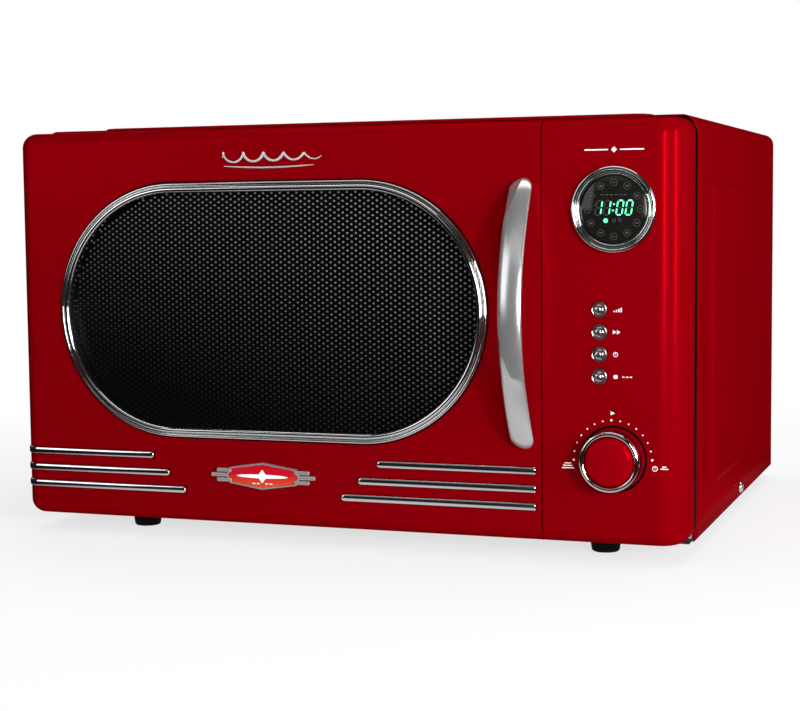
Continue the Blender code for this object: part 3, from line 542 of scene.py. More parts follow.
def door_moulding():
    bm = moulding_mesh((0, 0, BOTTOM), (DOOR_RIGHT, DEPTH, TOP), LEFT_FILLET, LEFT_FILLET, TOP_FILLET, 0.0)
    piece = add_piece("door_moulding", bm, RED_PLASTIC, "door", ["door_shell"])
    floor, right, top = BOTTOM + WALL, DOOR_RIGHT - WALL, TOP - WALL
    fillet, top_fillet = LEFT_FILLET - WALL, TOP_FILLET - WALL
    cutters = [
        moulding_mesh((WALL, WALL, floor), (right, 0.017, top), fillet, 0, top_fillet, WALL),
        box_mesh(at(0.018, 0.016, floor), at(right, 0.06, top)),
    ]
    hole = bmesh.new()
    plate(hole, stadium(RING_INNER + 0.0028, HALF_RUN), -0.01, 0.006, (WINDOW.x, WINDOW.z))
    cutters.append(hole)
    slack = 0.0003
    half = BAR_HALF + slack
    for z, end in zip(BAR_HEIGHTS, LEFT_ENDS):
        outline = wrapped_path(end + slack, 0.002) + wrapped_path(end + slack, -0.0010)[::-1]
        cutters.append(upright_prism(outline, z - half, z + half))
    for z, start in zip(BAR_HEIGHTS, RIGHT_STARTS):
        groove = bmesh.new()
        run = (RIGHT_END - start) / 2
        reach = run + slack
        outline = [(reach, -half), (reach, half)] + arc((half - reach, 0), half, 90, 270, 10)
        plate(groove, outline, -0.01, 0.0010, ((start + RIGHT_END) / 2, z))
        cutters.append(groove)
    for node in ("hinge_bracket_lower", "hinge_bracket_upper"):
        hinge = middle_of(node)
        bore = bmesh.new()
        pin_hole = [(0, 0.007), (0.0031, 0.007), (0.0031, -0.007), (0, -0.007)]
        lathe(bore, pin_hole, at(0.010, 0.025, hinge.z), 32, UPWARD)
        cutters.append(bore)
        cutters.append(box_mesh(at(-0.01, 0.0145, hinge.z - 0.0016), at(0.020, 0.05, hinge.z + 0.0016)))
    subtract(piece, cutters)


def sweep_ring(bm, section, radius):
    """Sweeps (outward, depth) pairs round the racetrack."""
    rings = []
    for side, start in ((1, -90), (-1, 90)):
        for nx, nz in arc((0, 0), 1.0, start, start + 180, 56):
            rings.append([
                at(WINDOW.x + side * HALF_RUN + nx * (radius + out), depth, WINDOW.z + nz * (radius + out))
                for out, depth in section
            ])
    closed_loft(bm, rings)


def window_ring():
    """Chrome trim of two ridges, the inner one higher, with a sleeve into the recess."""
    section = [(0.0000, 0.0054), (0.0000, -0.0006)]
    section += arc((0.0019, -0.0008), 0.0019, 180, 0, 12, -0.0022)
    section += arc((0.0051, -0.0007), 0.0012, 180, 0, 9, -0.0014)
    section += [(0.0065, -0.0002), (0.0020, -0.0002), (0.0020, 0.0054)]
    bm = bmesh.new()
    sweep_ring(bm, section, RING_INNER)
    add_piece("window_ring", bm, CHROME, "door", ["window_trim_ring"], smooth=40)
    # A thin black band on the door round the ring's outer edge: painted shadow.
    bm = bmesh.new()
    sweep_ring(bm, [(0, -0.00012), (0.0009, -0.00006), (0.0009, 0.0), (0, 0.0)], RING_OUTER - 0.0002)
    add_piece("ring_edge_painted_shadow", bm, PAINTED_SHADE_BLACK, "door")


def inside_racetrack(x, z, radius):
    return math.hypot(max(0.0, abs(x) - HALF_RUN), z) < radius


def window_screen():
    """The dark window: a smooth sheet covered with staggered rows of small raised dots."""
    bm = bmesh.new()
    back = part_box("window_glass")[1].y - CORNER.y
    plate(bm, stadium(RING_INNER + 0.0050, HALF_RUN), GLASS_FRONT, back, (WINDOW.x, WINDOW.z))
    add_piece("window_sheet", bm, SCREEN, "door", ["window_glass"])
    pitch_x, pitch_z = 0.00562, 0.00180
    dot, proud, sides = 0.00082, 0.00024, 6
    bm = bmesh.new()
    rows = int(RING_INNER / pitch_z) + 1
    columns = int((RING_INNER + HALF_RUN) / pitch_x) + 1
    for row in range(-rows, rows + 1):
        for column in range(-columns, columns + 1):
            x = (column + 0.5 * (row % 2)) * pitch_x
            z = row * pitch_z
            if not inside_racetrack(x, z, RING_INNER - 0.0006):
                continue
            tip = bm.verts.new(at(WINDOW.x + x, GLASS_FRONT - proud, WINDOW.z + z))
            base = arc((WINDOW.x + x, WINDOW.z + z), dot, 0, 360, sides, 0.85 * dot)[:-1]
            rim = [bm.verts.new(at(a, GLASS_FRONT - 0.00002, b)) for a, b in base]
            for k in range(sides):
                bm.faces.new((tip, rim[k], rim[(k + 1) % sides]))
            bm.faces.new(rim[::-1])
    add_piece("window_dots", bm, PAINTED_SHADE_DOTS, "door", smooth=60)


def inner_window():
    """The window as the door's inside shows it: dark glass in a low pressed rim."""
    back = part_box("door_inner_panel")[1].y - CORNER.y
    bm = bmesh.new()
    plate(bm, stadium(RING_INNER + 0.0020, HALF_RUN), back - 0.0004, back + 0.0005, (WINDOW.x, WINDOW.z))
    add_piece("inner_window", bm, BLACK_GLASS, "door")
    rings = []
    for reach, lift in ((0.0016, -0.0004), (0.0022, 0.0008), (0.0054, 0.0008), (0.0070, -0.0004)):
        outline = stadium(RING_INNER + reach, HALF_RUN)
        rings.append([at(WINDOW.x + x, back + lift, WINDOW.z + z) for x, z in outline])
    bm = bmesh.new()
    closed_loft(bm, rings)
    add_piece("inner_window_rim", bm, ENAMEL, "door")


def bar_section(half, proud):
    """Half of a flattened round, from its lower edge to its upper edge: (height, outward) pairs."""
    points = [(-half, -0.0004)]
    for step in range(13):
        angle = math.pi * step / 12
        points.append((-half * math.cos(angle), proud * math.sin(angle) ** 0.45))
    return points + [(half, -0.0004)]


def bar_rings(path, z):
    """path: (x, y), (outward x, y), how proud the bar stands, and the distance to its rounded end."""
    rings = []
    for (x, y), (nx, ny), proud, left in path:
        share = math.sqrt(1 - (1 - min(1.0, left / BAR_HALF)) ** 2)
        half = max(THIN, BAR_HALF * share)
        out_most = max(THIN, proud * share ** 0.5)
        rings.append([at(x + nx * out, y + ny * out, z + up) for up, out in bar_section(half, out_most)])
    return rings


def add_bar(side, number, path, z):
    bm = bmesh.new()
    loft(bm, bar_rings(path, z))
    add_piece(f"bar_{side}_{number}", bm, CHROME, "door", [f"trim_bar_{side}_{number}"], 50)


def trim_bars():
    """Three bars on each side. Those on the left run on round the door's edge."""
    ahead, far = (0.0, -1.0), 1.0
    round_end = [BAR_HALF * (1 - math.cos(math.radians(10 * k))) for k in range(10)]
    for number, (z, end) in enumerate(zip(BAR_HEIGHTS, LEFT_ENDS), 1):
        path = [((end - d, 0.0), ahead, BAR_PROUD, d) for d in round_end]
        path.append(((0.020, 0.0), ahead, BAR_PROUD, far))
        bend = arc((LEFT_FILLET, LEFT_FILLET), LEFT_FILLET, 270, 180, 14)
        for step, (x, y) in enumerate(bend):
            outward = (x / LEFT_FILLET - 1, y / LEFT_FILLET - 1)
            proud = BAR_PROUD + (SIDE_PROUD - BAR_PROUD) * (step / 14) ** 0.7
            path.append(((x, y), outward, proud, far))
        path.append(((0.0, 0.0188), (-1.0, 0.0), SIDE_PROUD, far))
        add_bar("left", number, path, z)
    for number, (z, start) in enumerate(zip(BAR_HEIGHTS, RIGHT_STARTS), 1):
        path = [((start + d, 0.0), ahead, BAR_PROUD, d) for d in round_end]
        path.append(((RIGHT_END - 0.0004, 0.0), ahead, BAR_PROUD, far))
        path.append(((RIGHT_END, 0.0), ahead, BAR_PROUD * 0.85, far))
        add_bar("right", number, path, z)


# The handle's two folds run down to a point: its height over the handle's lower end, and its place across,
# from -1 at the handle's left to 1 at its right.
FOLD_POINT = 0.0430
FOLD_SIDE = 0.55


def handle_depth(q, z, bottom, top, face, half_wide):
    """How far the handle's front stands out at q, from -1 at its left to 1 at its right. Two folds run
    across it from its edges to a point, and the surface falls away beyond them."""
    left, right = handle_folds(z, bottom, top)
    distance = max(0.0, left - q, q - right) * half_wide
    below = bottom + FOLD_POINT - z
    if below > 0:
        distance = math.hypot((q - FOLD_SIDE) * half_wide, below)
    fall = 0.0022 * (1 - math.exp(-distance * 0.5 / 0.0022))
    bend = 0.19 * (q - 0.2) ** 2 + 6.2 * max(0.0, abs(q) - 0.88) ** 2
    return face - half_wide * bend - fall


def handle_folds(z, bottom, top):
    """Where the two folds cross the height z."""
    above = max(0.0, z - bottom - FOLD_POINT)
    left = FOLD_SIDE - (0.97 + FOLD_SIDE) * min(1.0, above / 0.031) ** 0.4
    right = FOLD_SIDE + (0.95 - FOLD_SIDE) * math.sqrt(min(1.0, above / 0.018))
    under_top = top - z
    if under_top < 0.024:
        left = max(left, -0.95 + 1.10 * (1 - under_top / 0.024))
    return left, max(right, left + 0.03)


def door_handle():
    """A bowed bar with rounded tips and satin folds."""
    low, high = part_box("door_handle")
    centre_x = (low.x + high.x) / 2 - CORNER.x
    bottom, top = low.z - CORNER.z, high.z - CORNER.z
    reach = CORNER.y - low.y
    half_wide = (high.x - low.x) / 2
    steps, left_steps, face_steps, right_steps = 120, 7, 10, 5
    rings = []
    for step in range(steps + 1):
        spread = 0.5 - 0.5 * math.cos(math.pi * step / steps)
        z = bottom + (top - bottom) * spread
        end = min(z - bottom, top - z)
        tip = math.sqrt(max(0.0, 1 - (1 - min(1.0, end / 0.0070)) ** 2))
        bow = math.sin(math.pi * (z - bottom) / (top - bottom))
        wide = half_wide * max(0.03, tip)
        face = 0.0060 + (reach - 0.0060) * bow ** 0.8 - 0.0020 * (1 - tip)
        left, right = handle_folds(z, bottom, top)
        across = [-1 + (left + 1) * k / left_steps for k in range(left_steps)]
        across += [left + (right - left) * k / face_steps for k in range(face_steps)]
        across += [right + (1 - right) * k / right_steps for k in range(right_steps + 1)]
        back = max(0.0003, face - 0.0090)
        ring = []
        for q in across:
            depth = max(back + 0.0001, handle_depth(q, z, bottom, top, face, half_wide))
            ring.append(at(centre_x + wide * q, -depth, z))
        ring.append(at(centre_x + wide * 0.75, -back, z))
        ring.append(at(centre_x - wide * 0.75, -back, z))
        rings.append(ring)
    bm = bmesh.new()
    loft(bm, rings)
    piece = add_piece("handle_bar", bm, SATIN, "door", ["door_handle"], smooth=60)
    crease_columns(piece, len(rings[0]), (left_steps, left_steps + face_steps))


def crease_columns(piece, count, columns):
    """Keeps the shading sharp along the folds, which are columns of the lofted mesh."""
    for edge in piece.data.edges:
        one, two = edge.vertices
        if one % count == two % count and one % count in columns:
            edge.use_edge_sharp = True


def badge_outline(inset, tall):
    """An eight-sided outline, pulled in by the same distance all round."""
    half, shoulder, rise = 0.0256 - inset, 0.0229 - 0.9 * inset, 0.0052 * tall / 0.0088
    return [
        (-half, 0), (-shoulder, -rise), (0, -tall), (shoulder, -rise),
        (half, 0), (shoulder, rise), (0, tall), (-shoulder, rise),
    ]


def badge():
    """A long enamel plate in a chrome border, with a winglet of three bars at each end."""
    centre = middle_of("door_badge")
    tall = 0.0088
    bm = bmesh.new()
    levels = (
        (0.0, 0.0002), (0.0001, -0.0014), (0.0004, -0.0020), (0.0012, -0.0020), (0.0015, -0.0016),
        (0.0016, -0.0002),
    )
    rings = [[at(centre.x + x, depth, centre.z + z) for x, z in badge_outline(inset, tall - inset)]
             for inset, depth in levels]
    loft(bm, rings)
    add_piece("badge_border", bm, PALE_CHROME, "door", ["door_badge"], smooth=40)
    bm = bmesh.new()
    rings = []
    for step in range(9):
        share = step / 8
        inset = 0.0014 + (tall - 0.0020) * share
        depth = -0.0012 - 0.0006 * math.sin(0.5 * math.pi * share)
        rings.append([at(centre.x + x, depth, centre.z + z) for x, z in badge_outline(inset, tall - inset)])
    loft(bm, rings)
    add_piece("badge_face", bm, BADGE, "door", smooth=60)
    bm = bmesh.new()
    for side in (-1, 1):
        for row, reach in ((-1, 0.0318), (0, 0.0358), (1, 0.0318)):
            start = 0.0215 if row else 0.0245
            length = (reach - start) / 2
            plate(bm, round_outline(length, 0.00125, 0.0008, 4), -0.0017, 0.0001,
                  (centre.x + side * (start + length), centre.z + row * 0.0031))
    soften(add_piece("badge_winglets", bm, PALE_CHROME, "door"), 0.0005, 3)
    bm = bmesh.new()
    spear = arc((0, 0), 0.0175, 0, 360, 48, 0.0013)[:-1]
    plate(bm, spear, -0.0022, -0.0012, (centre.x, centre.z))
    plate(bm, [(-0.0034, 0), (0, -0.0042), (0.0034, 0), (0, 0.0042)], -0.0024, -0.0012, (centre.x, centre.z))
    for step in (-2, -1, 1, 2):
        dash = round_outline(0.0010, 0.00035, 0.0002, 2)
        plate(bm, dash, -0.0022, -0.0012, (centre.x + 0.0029 * step, centre.z - 0.0046))
    soften(add_piece("badge_emblem", bm, WHITE_INK, "door"), 0.0002)


def soften(piece, width, segments=2):
    rounding = piece.modifiers.new("Round", "BEVEL")
    rounding.width = width
    rounding.segments = segments
    rounding.limit_method = "ANGLE"
    even_shading(piece)


def top_ornament():
    """A chrome flourish: a wave that dies away to the right over a long tapered stroke."""
    low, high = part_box("top_ornament")
    centre = middle_of("top_ornament")
    half = (high.x - low.x) / 2
    bm = bmesh.new()

    def stroke(points, thick):
        rings = []
        for number, (x, z) in enumerate(points):
            before = points[max(0, number - 1)]
            after = points[min(len(points) - 1, number + 1)]
            along = Vector((after[0] - before[0], after[1] - before[1])).normalized()
            share = number / (len(points) - 1)
            radius = thick * (0.25 + 0.75 * math.sin(math.pi * share) ** 0.5)
            radius *= 0.65 + 0.35 * abs(along.y)
            circle = arc((0, 0), radius, 0, 360, 10, 0.8 * radius)[:-1]
            rings.append([
                at(centre.x + x - along.y * a, -0.0009 - b, centre.z + z + along.x * a) for a, b in circle
            ])
        loft(bm, rings)

    steps = 140
    wave = []
    for step in range(steps + 1):
        share = step / steps
        angle = 5 * math.tau * share
        fade = 0.0032 * (1 - 0.45 * share)
        sway = 0.0026 * math.cos(angle) * (1 - share * 0.5)
        wave.append(((share - 0.5) * 1.9 * half + sway, 0.0012 + fade * math.sin(angle)))
    stroke(wave, 0.00105)
    under = [((k / 60 - 0.5) * 1.7 * half, -0.0042 - 0.0012 * math.sin(math.pi * k / 60)) for k in range(61)]
    stroke(under, 0.0008)
    add_piece("chrome_flourish", bm, BRIGHT_TRIM, "door", ["top_ornament"], smooth=60)


# ---- Control panel ----

DISPLAY = middle_of("display_bezel")
KNOB = middle_of("knob_ring")
BUTTONS = [middle_of(f"button_{n}") for n in (1, 2, 3, 4)]
DISPLAY_PLACE = at(DISPLAY.x, 0.0, DISPLAY.z)
KNOB_PLACE = at(KNOB.x, 0.0, KNOB.z)
# The panel's moulding stops short here, and a black band of painted shade fills the depth behind it.
SHADE_BAND_FRONT, SHADE_BAND_BACK = DEPTH - 0.0080, DEPTH + 0.0014


def panel_moulding():
    low = PANEL_LOW - CORNER
    bm = moulding_mesh((low.x, 0, BOTTOM), (WIDTH, SHADE_BAND_FRONT, TOP), RIGHT_FILLET, 0.0, TOP_FILLET, WIDTH)
    piece = add_piece("panel_moulding", bm, RED_PLASTIC, "casing", ["control_panel"])
    inner_low, inner_high = (low.x + WALL, WALL, BOTTOM + WALL), (WIDTH - WALL, 0.06, TOP - WALL)
    fillet, top_fillet = RIGHT_FILLET - WALL, TOP_FILLET - WALL
    cutters = [moulding_mesh(inner_low, inner_high, fillet, 0.0, top_fillet, WIDTH - WALL)]
    holes = [(DISPLAY, 0.0206), (KNOB, 0.0040)] + [(spot, 0.0050) for spot in BUTTONS]
    for spot, radius in holes:
        bore = bmesh.new()
        lathe(bore, [(0, 0.01), (radius, 0.01), (radius, -0.01), (0, -0.01)], at(spot.x, 0.0, spot.z), 64)
        cutters.append(bore)
    subtract(piece, cutters)


def panel_gap_painted_shade():
    """A black band in the recess between the panel's moulding and the cabinet: painted shade in the gap."""
    left = PANEL_LOW.x - CORNER.x + 0.0005
    front, shallow, deep = SHADE_BAND_FRONT - 0.0005, 0.0003, 0.0020
    loops = []
    for inset, depth in ((shallow, front), (shallow, SHADE_BAND_BACK), (deep, SHADE_BAND_BACK), (deep, front)):
        low, high, right = BOTTOM + inset, TOP - inset, WIDTH - inset
        radius = TOP_FILLET - inset
        outline = [(left + inset, low)] + arc((right - radius, low + radius), radius, 270, 360, 10)
        outline += arc((right - radius, high - radius), radius, 0, 90, 10) + [(left + inset, high)]
        loops.append([at(x, depth, z) for x, z in outline])
    bm = bmesh.new()
    closed_loft(bm, loops)
    add_piece("panel_gap_painted_shade", bm, PAINTED_SHADE_BLACK, "casing")


def display_bezel():
    profile = [(0.0202, -0.0002), (0.0202, 0.0010)]
    profile += arc((0.0213, 0.0012), 0.0011, 180, 0, 9, 0.0012)
    profile += arc((0.0239, 0.0014), 0.0014, 180, 0, 12, 0.0022)
    profile += [(0.0255, 0.0008), (0.0255, 0.0001)]
    turned_piece("display_ring", profile, DISPLAY_PLACE, CHROME, "casing", "display_bezel")


# Each bar of a digit: how far across and up its middle is, and whether it lies flat.
SEGMENTS = {
    "a": (0, 1, 1), "b": (1, 0.5, 0), "c": (1, -0.5, 0), "d": (0, -1, 1), "e": (-1, -0.5, 0),
    "f": (-1, 0.5, 0), "g": (0, 0, 1),
}
DIGITS = {"0": "abcdef", "1": "bc"}


def segment(bm, centre, key, front):
    """One bar of a slanted seven-bar digit."""
    wide, tall, thick = 0.0017, 0.0041, 0.00040
    lean = 0.16
    across, up, lying = SEGMENTS[key]
    x, z = across * wide, up * tall
    length = (wide if lying else tall / 2) - 0.00038
    shoulder = length - thick
    outline = [
        (-length, 0), (-shoulder, -thick), (shoulder, -thick),
        (length, 0), (shoulder, thick), (-shoulder, thick),
    ]
    if not lying:
        outline = [(b, a) for a, b in outline]
    leaning = [(x + a + lean * (z + b), z + b) for a, b in outline]
    plate(bm, leaning, front, front + 0.0001, centre)


def display_face():
    """The round display: black glass, a lit clock, dim symbols round it and one lit dot."""
    profile = [(0, 0.0006), (0.0191, 0.0005), (0.0198, 0.0001), (0.0198, -0.0030), (0, -0.0030)]
    turned_piece("display_glass", profile, DISPLAY_PLACE, BLACK_GLASS, "casing",
                 "display_lens", smooth=60)
    lit, dim, ghost = bmesh.new(), bmesh.new(), bmesh.new()
    ink = -0.00075
    for digit, offset in zip("1100", (-0.0090, -0.0040, 0.0036, 0.0090)):
        centre = (DISPLAY.x + offset, DISPLAY.z + 0.0010)
        for key in SEGMENTS:
            shown = key in DIGITS[digit]
            segment(lit if shown else ghost, centre, key, ink if shown else ink + 0.00004)
    for up in (-0.0016, 0.0020):
        plate(lit, round_outline(0.0005, 0.0005, 0.0004, 3), ink, ink + 0.0001,
              (DISPLAY.x - 0.0002 + 0.16 * up, DISPLAY.z + 0.0010 + up))
    lamp = (DISPLAY.x - 0.0048, DISPLAY.z - 0.0064)
    hoop(lit, lamp, 0.0013, 0.00045, ink)
    plate(lit, arc((0, 0), 0.0007, 0, 345, 23), ink, ink + 0.0001, lamp)
    for x, z in ((0.0001, -0.0064), (0.0036, -0.0060)):
        hoop(dim, (DISPLAY.x + x, DISPLAY.z + z), 0.0011, 0.00045, ink)
    for number in range(12):
        angle = math.tau * number / 12
        centre = (DISPLAY.x + 0.0156 * math.sin(angle), DISPLAY.z + 0.0156 * math.cos(angle))
        hoop(dim, centre, 0.0021, 0.00030, ink)
        sign = round_outline(0.0009, 0.0003 + 0.0002 * (number % 3), 0.0002, 2)
        plate(dim, sign, ink, ink + 0.0001, centre)
    for number in range(6):
        plate(dim, round_outline(0.0009, 0.0003, 0.0002, 2), ink, ink + 0.0001,
              (DISPLAY.x - 0.0068 + 0.0027 * number, DISPLAY.z + 0.0085))
    add_piece("display_digits", lit, GREEN_GLOW, "casing")
    add_piece("display_symbols", dim, DIM_INK, "casing")
    add_piece("display_unlit", ghost, GHOST_INK, "casing")


def hoop(bm, centre, radius, thick, front):
    """A flat ring that faces the front."""
    inner, back = radius - thick, front + 0.0001
    rows = []
    for out, depth in ((radius, front), (inner, front), (inner, back), (radius, back)):
        rows.append([at(x, depth, z) for x, z in arc(centre, out, 0, 360, 28)[:-1]])
    closed_loft(bm, rows)


def push_buttons():
    for number, spot in enumerate(BUTTONS, 1):
        profile = [(0, 0.0042)]
        profile += arc((0, 0.0012), 0.0037, 81, 0, 9, 0.0030)
        profile += [(0.0038, 0.0008), (0.0041, 0.0009), (0.0044, 0.0010), (0.00465, 0.0006)]
        profile += [(0.00465, -0.0028), (0.0060, -0.0028), (0.0060, -0.0045), (0.0020, -0.0045)]
        profile += [(0.0020, -0.0120), (0, -0.0120)]
        button = f"button_{number}"
        turned_piece(f"button_dome_{number}", profile, at(spot.x, 0.0, spot.z), BUTTON_CHROME, button,
                     button, steps=48, smooth=50)


def knob():
    profile = [(0, 0.0032), (0.0146, 0.0032), (0.0147, 0.0100)]
    profile += arc((0.0163, 0.0098), 0.0016, 180, 0, 12)
    profile += [(0.0180, 0.0088), (0.0180, 0.0016), (0.0174, 0.0010), (0.0030, 0.0008)]
    profile += [(0.0030, -0.0075), (0, -0.0075)]
    turned_piece("knob_chrome", profile, KNOB_PLACE, CHROME, "knob", "knob_ring")
    profile = [(0, 0.0128)]
    for step in range(1, 16):
        angle = math.radians(6 * step)
        profile.append((0.0144 * math.sin(angle) ** 0.9, 0.0100 + 0.0028 * math.cos(angle)))
    profile += [(0.0144, 0.0036), (0, 0.0036)]
    turned_piece("knob_face", profile, KNOB_PLACE, RED_CAP, "knob", "knob_cap", smooth=50)
    # A flat black ring set slightly off centre towards the upper right of the knob: painted shadow of the
    # recess round it.
    bm = bmesh.new()
    hoop(bm, (KNOB.x + 0.0006, KNOB.z + 0.0004), 0.0200, 0.0014, -0.00006)
    add_piece("knob_recess_painted_shadow", bm, PAINTED_SHADE_BLACK, "casing")


def print_marks():
    """White printed marks: the dial's dots, and plain symbols beside the dial and the buttons."""
    bm = bmesh.new()
    front, back = -0.00006, 0.00002

    def dot(x, z, radius):
        plate(bm, arc((0, 0), radius, 0, 340, 17), front, back, (x, z))

    def bar(x, z, half_x, half_z):
        plate(bm, round_outline(half_x, half_z, min(half_x, half_z) * 0.4, 2), front, back, (x, z))

    for number in range(15):
        angle = math.radians(1.8) + math.pi * number / 14
        size = 0.00068 if number in (0, 7, 14) else 0.00045
        dot(KNOB.x + 0.0234 * math.cos(angle), KNOB.z + 0.0234 * math.sin(angle), size)
    plate(bm, [(-0.0012, 0.0011), (-0.0012, -0.0011), (0.0014, 0)], front, back, (KNOB.x, KNOB.z + 0.0275))
    for number in range(3):
        bar(KNOB.x - 0.0270, KNOB.z - 0.0056 + 0.0014 * number, 0.0036 - 0.0008 * number, 0.00032)
    hoop(bm, (KNOB.x + 0.0250, KNOB.z - 0.0042), 0.0016, 0.00035, front)
    bar(KNOB.x + 0.0250, KNOB.z - 0.0038, 0.00018, 0.0007)
    bar(KNOB.x + 0.0305, KNOB.z - 0.0042, 0.0022, 0.0003)
    bar(KNOB.x + 0.0305, KNOB.z - 0.0030, 0.0012, 0.0003)
    left = BUTTONS[0].x + 0.0086
    for number in range(4):
        rise = 0.0003 * number
        bar(left + 0.0014 * number, BUTTONS[0].z - 0.0010 + rise, 0.00035, 0.0004 + rise)
    for number in range(2):
        x = left + 0.0024 * number
        plate(bm, [(-0.0008, 0.0012), (-0.0008, -0.0012), (0.0012, 0)], front, back, (x, BUTTONS[1].z))
    hoop(bm, (left + 0.0008, BUTTONS[2].z), 0.0014, 0.0003, front)
    bar(left + 0.0008, BUTTONS[2].z + 0.0004, 0.00016, 0.0006)
    bar(left + 0.0008, BUTTONS[3].z, 0.0011, 0.0011)
    for number in range(3):
        bar(left + 0.0055 + 0.0022 * number, BUTTONS[3].z, 0.0007, 0.0003)
    line = DISPLAY.z + 0.0345
    for side in (-1, 1):
        bar(DISPLAY.x + side * 0.0105, line, 0.0070, 0.00035)
    diamond = [(-0.0017, 0), (0, -0.0017), (0.0017, 0), (0, 0.0017)]
    plate(bm, diamond, front, back, (DISPLAY.x, line))
    add_piece("printed_marks", bm, WHITE_INK, "casing")


# ---- Cabinet ----

CABINET_LOW, CABINET_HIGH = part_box("outer_cabinet")
BACK = CABINET_HIGH.y - CORNER.y


def samples(low, high, bands, coarse=0.012, fine=0.0011):
    """Places from low to high, close together inside the bands and far apart elsewhere."""
    places = [low]
    while places[-1] < high - 0.00001:
        here = places[-1]
        inside = any(a - 0.0001 <= here < b for a, b in bands)
        ahead = [a for a, b in bands if a > here + 0.00001]
        step = fine if inside else coarse
        limit = min(ahead + [high]) if not inside else high
        places.append(min(here + step, limit, high))
    return places


def rounded_box_distance(x, z, low_x, high_x, low_z, high_z, radius):
    """How far a point is inside a rounded rectangle; negative outside."""
    dx = abs(x - (low_x + high_x) / 2) - (high_x - low_x) / 2 + radius
    dz = abs(z - (low_z + high_z) / 2) - (high_z - low_z) / 2 + radius
    return radius - math.hypot(max(dx, 0.0), max(dz, 0.0)) - min(max(dx, dz), 0.0)


def smooth_step(value):
    value = min(1.0, max(0.0, value))
    return value * value * (3 - 2 * value)


def cabinet():
    """The wrapped sheet, folded over the top, with a raised round-cornered panel on the top and the sides."""
    side_in, fold, sheet = 0.0015, 0.008, 0.0008
    plain_top, plateau, emboss = 0.2513, 0.0020, 0.0014
    bottom = CABINET_LOW.z - CORNER.z
    front = CABINET_LOW.y - CORNER.y
    left, right = side_in, WIDTH - side_in
    side_box = (0.095, 0.339, 0.022, 0.211)
    top_box = (0.0315, WIDTH - 0.0315, 0.050, 0.339)
    corner, ramp = 0.014, 0.0020
    heights = samples(bottom, plain_top - fold, [(0.0205, 0.038), (0.195, 0.2125)])
    across = samples(left + fold, right - fold, [(0.030, 0.048), (WIDTH - 0.048, WIDTH - 0.030)])
    profile = [(left, z, -1.0, 0.0) for z in heights[:-1]]
    for x, z in arc((left + fold, plain_top - fold), fold, 180, 90, 12):
        profile.append((x, z, (x - left - fold) / fold, (z - plain_top + fold) / fold))
    profile += [(x, plain_top, 0.0, 1.0) for x in across[1:-1]]
    for x, z in arc((right - fold, plain_top - fold), fold, 90, 0, 12):
        profile.append((x, z, (x - right + fold) / fold, (z - plain_top + fold) / fold))
    profile += [(right, z, 1.0, 0.0) for z in heights[-2::-1]]
    depths = samples(front, BACK, [(0.049, 0.066), (0.094, 0.111), (0.323, 0.3405)])
    rings = []
    for y in depths:
        ring = []
        for x, z, nx, nz in profile:
            lift = 0.0
            if abs(nx) == 1.0:
                lift = emboss * smooth_step(rounded_box_distance(y, z, *side_box, corner) / ramp)
            elif nz == 1.0:
                lift = plateau * smooth_step(rounded_box_distance(x, y, *top_box, corner) / ramp)
            ring.append(at(x + nx * lift, y, z + nz * lift))
        rings.append(ring)
    bm = bmesh.new()
    loft(bm, rings, closed=False, caps=False)
    piece = add_piece("cabinet_wrap", bm, RED_PAINT, "casing", ["outer_cabinet"], smooth=50)
    shell = piece.modifiers.new("Sheet", "SOLIDIFY")
    shell.thickness = sheet
    shell.offset = -1.0


def screw_heads():
    """Pan heads with a cross recess."""
    for node, axis in (("side_screw_left", Vector((-1, 0, 0))), ("side_screw_right", Vector((1, 0, 0))),
                       ("rear_screw_left", Vector((0, 1, 0))), ("rear_screw_right", Vector((0, 1, 0)))):
        low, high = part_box(node)
        centre = (low + high) / 2
        flat = [low[i] if axis[i] > 0 else high[i] for i in range(3)]
        base = Vector([flat[i] if axis[i] else centre[i] for i in range(3)])
        bm = bmesh.new()
        reach = (high - low).dot(Vector([abs(value) for value in axis]))
        radius = max(high[i] - low[i] for i in range(3)) / 2
        profile = [
            (0.2, 0.55), (0.3, 0.62), (0.36, 0.98), (0.6, 1.0), (0.85, 0.86), (0.97, 0.6), (1.0, 0.25),
            (1.0, 0.0),
        ]
        side = axis.cross(UPWARD)
        rows = []
        for share, height in profile:
            row = []
            for k in range(32):
                notch = 0.45 if share < 0.37 and (k // 4) % 2 else 0.0
                out = radius * share * (1 - notch)
                turn = math.tau * k / 32
                around = UPWARD * math.cos(turn) + side * math.sin(turn)
                row.append(base + axis * height * reach + around * out)
            rows.append(row)
        loft(bm, rows)
        add_piece(f"{node}_head", bm, CHROME, "casing", [node], smooth=40)


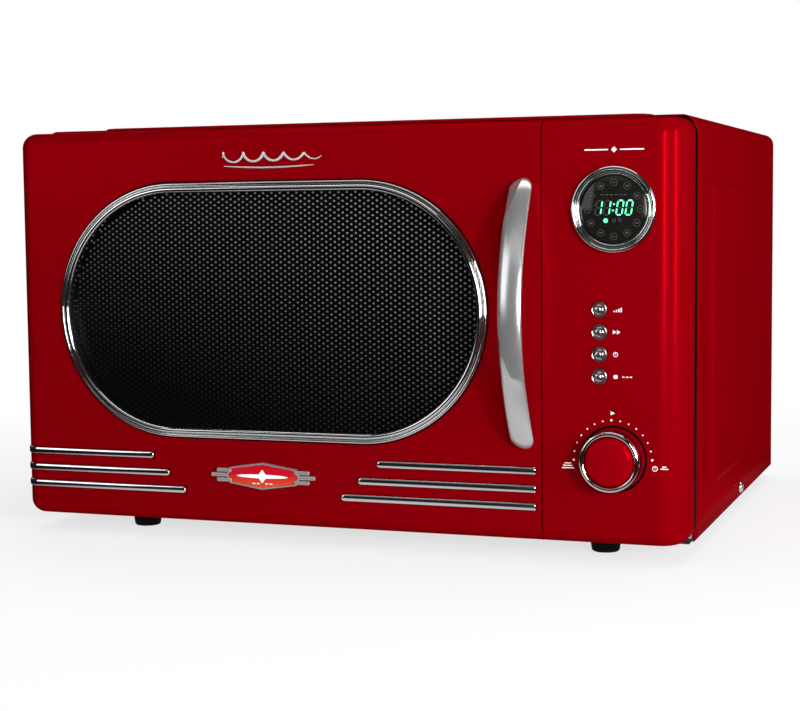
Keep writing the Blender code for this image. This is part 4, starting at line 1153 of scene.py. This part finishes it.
def feet():
    for node in ("foot_front_left", "foot_front_right", "foot_rear_left", "foot_rear_right"):
        low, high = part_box(node)
        tall = high.z - low.z
        top, sole = (high.x - low.x) / 2, (high.x - low.x) / 2 - 0.0012
        profile = [
            (0, tall), (top, tall), (top, tall - 0.0012), (sole + 0.0003, 0.0012), (sole, 0.0005),
            (sole - 0.0007, 0), (0.0040, 0), (0.0036, 0.0010), (0, 0.0010),
        ]
        turned_piece(f"{node}_pad", profile, foot_of(node), RUBBER, "casing", node, 48, UPWARD)


# ---- Inside ----


def glass_tray():
    low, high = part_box("glass_tray")
    radius = (high.x - low.x) / 2
    tall = high.z - low.z
    profile = [
        (0, 0.0040), (0.090, 0.0040), (0.106, 0.0048), (0.117, 0.0085), (0.1245, tall - 0.0006),
        (0.1262, tall), (radius, tall - 0.0010), (0.1205, 0.0066), (0.110, 0.0012), (0.102, 0.0), (0, 0),
    ]
    turned_piece("tray_disc", profile, foot_of("glass_tray"), TRAY, "turntable", "glass_tray",
                 axis=UPWARD)


# The material of each of the record's slots.
CAD_LOOKS = {
    "galvanised": ZINC, "cavity_paint": ENAMEL, "black_plastic": BLACK_PLASTIC,
    "white_plastic": WHITE_PLASTIC, "board": BOARD, "mica": MICA, "transformer_steel": WINDING,
    "dark_screen": SCREEN, "rubber": RUBBER, "chrome": CHROME, "screw_steel": CHROME,
    "red_plastic": RED_PLASTIC, "red_paint": RED_PAINT, "red_cap": RED_CAP, "satin_chrome": SATIN,
    "black_glass": BLACK_GLASS, "tray_glass": TRAY, "badge_enamel": BADGE,
}


def dress_cad_nodes():
    slots = {entry["node"]: entry["material_slot"] for entry in frame["record"]["subparts"]}
    for name, node in frame["nodes"].items():
        node.data.materials.clear()
        node.data.materials.append(DARK_STEEL if name == "base_plate" else CAD_LOOKS[slots[name]])


dress_cad_nodes()
door_moulding()
window_ring()
window_screen()
inner_window()
trim_bars()
door_handle()
badge()
top_ornament()
panel_moulding()
panel_gap_painted_shade()
display_bezel()
display_face()
push_buttons()
knob()
print_marks()
cabinet()
screw_heads()
feet()
glass_tray()
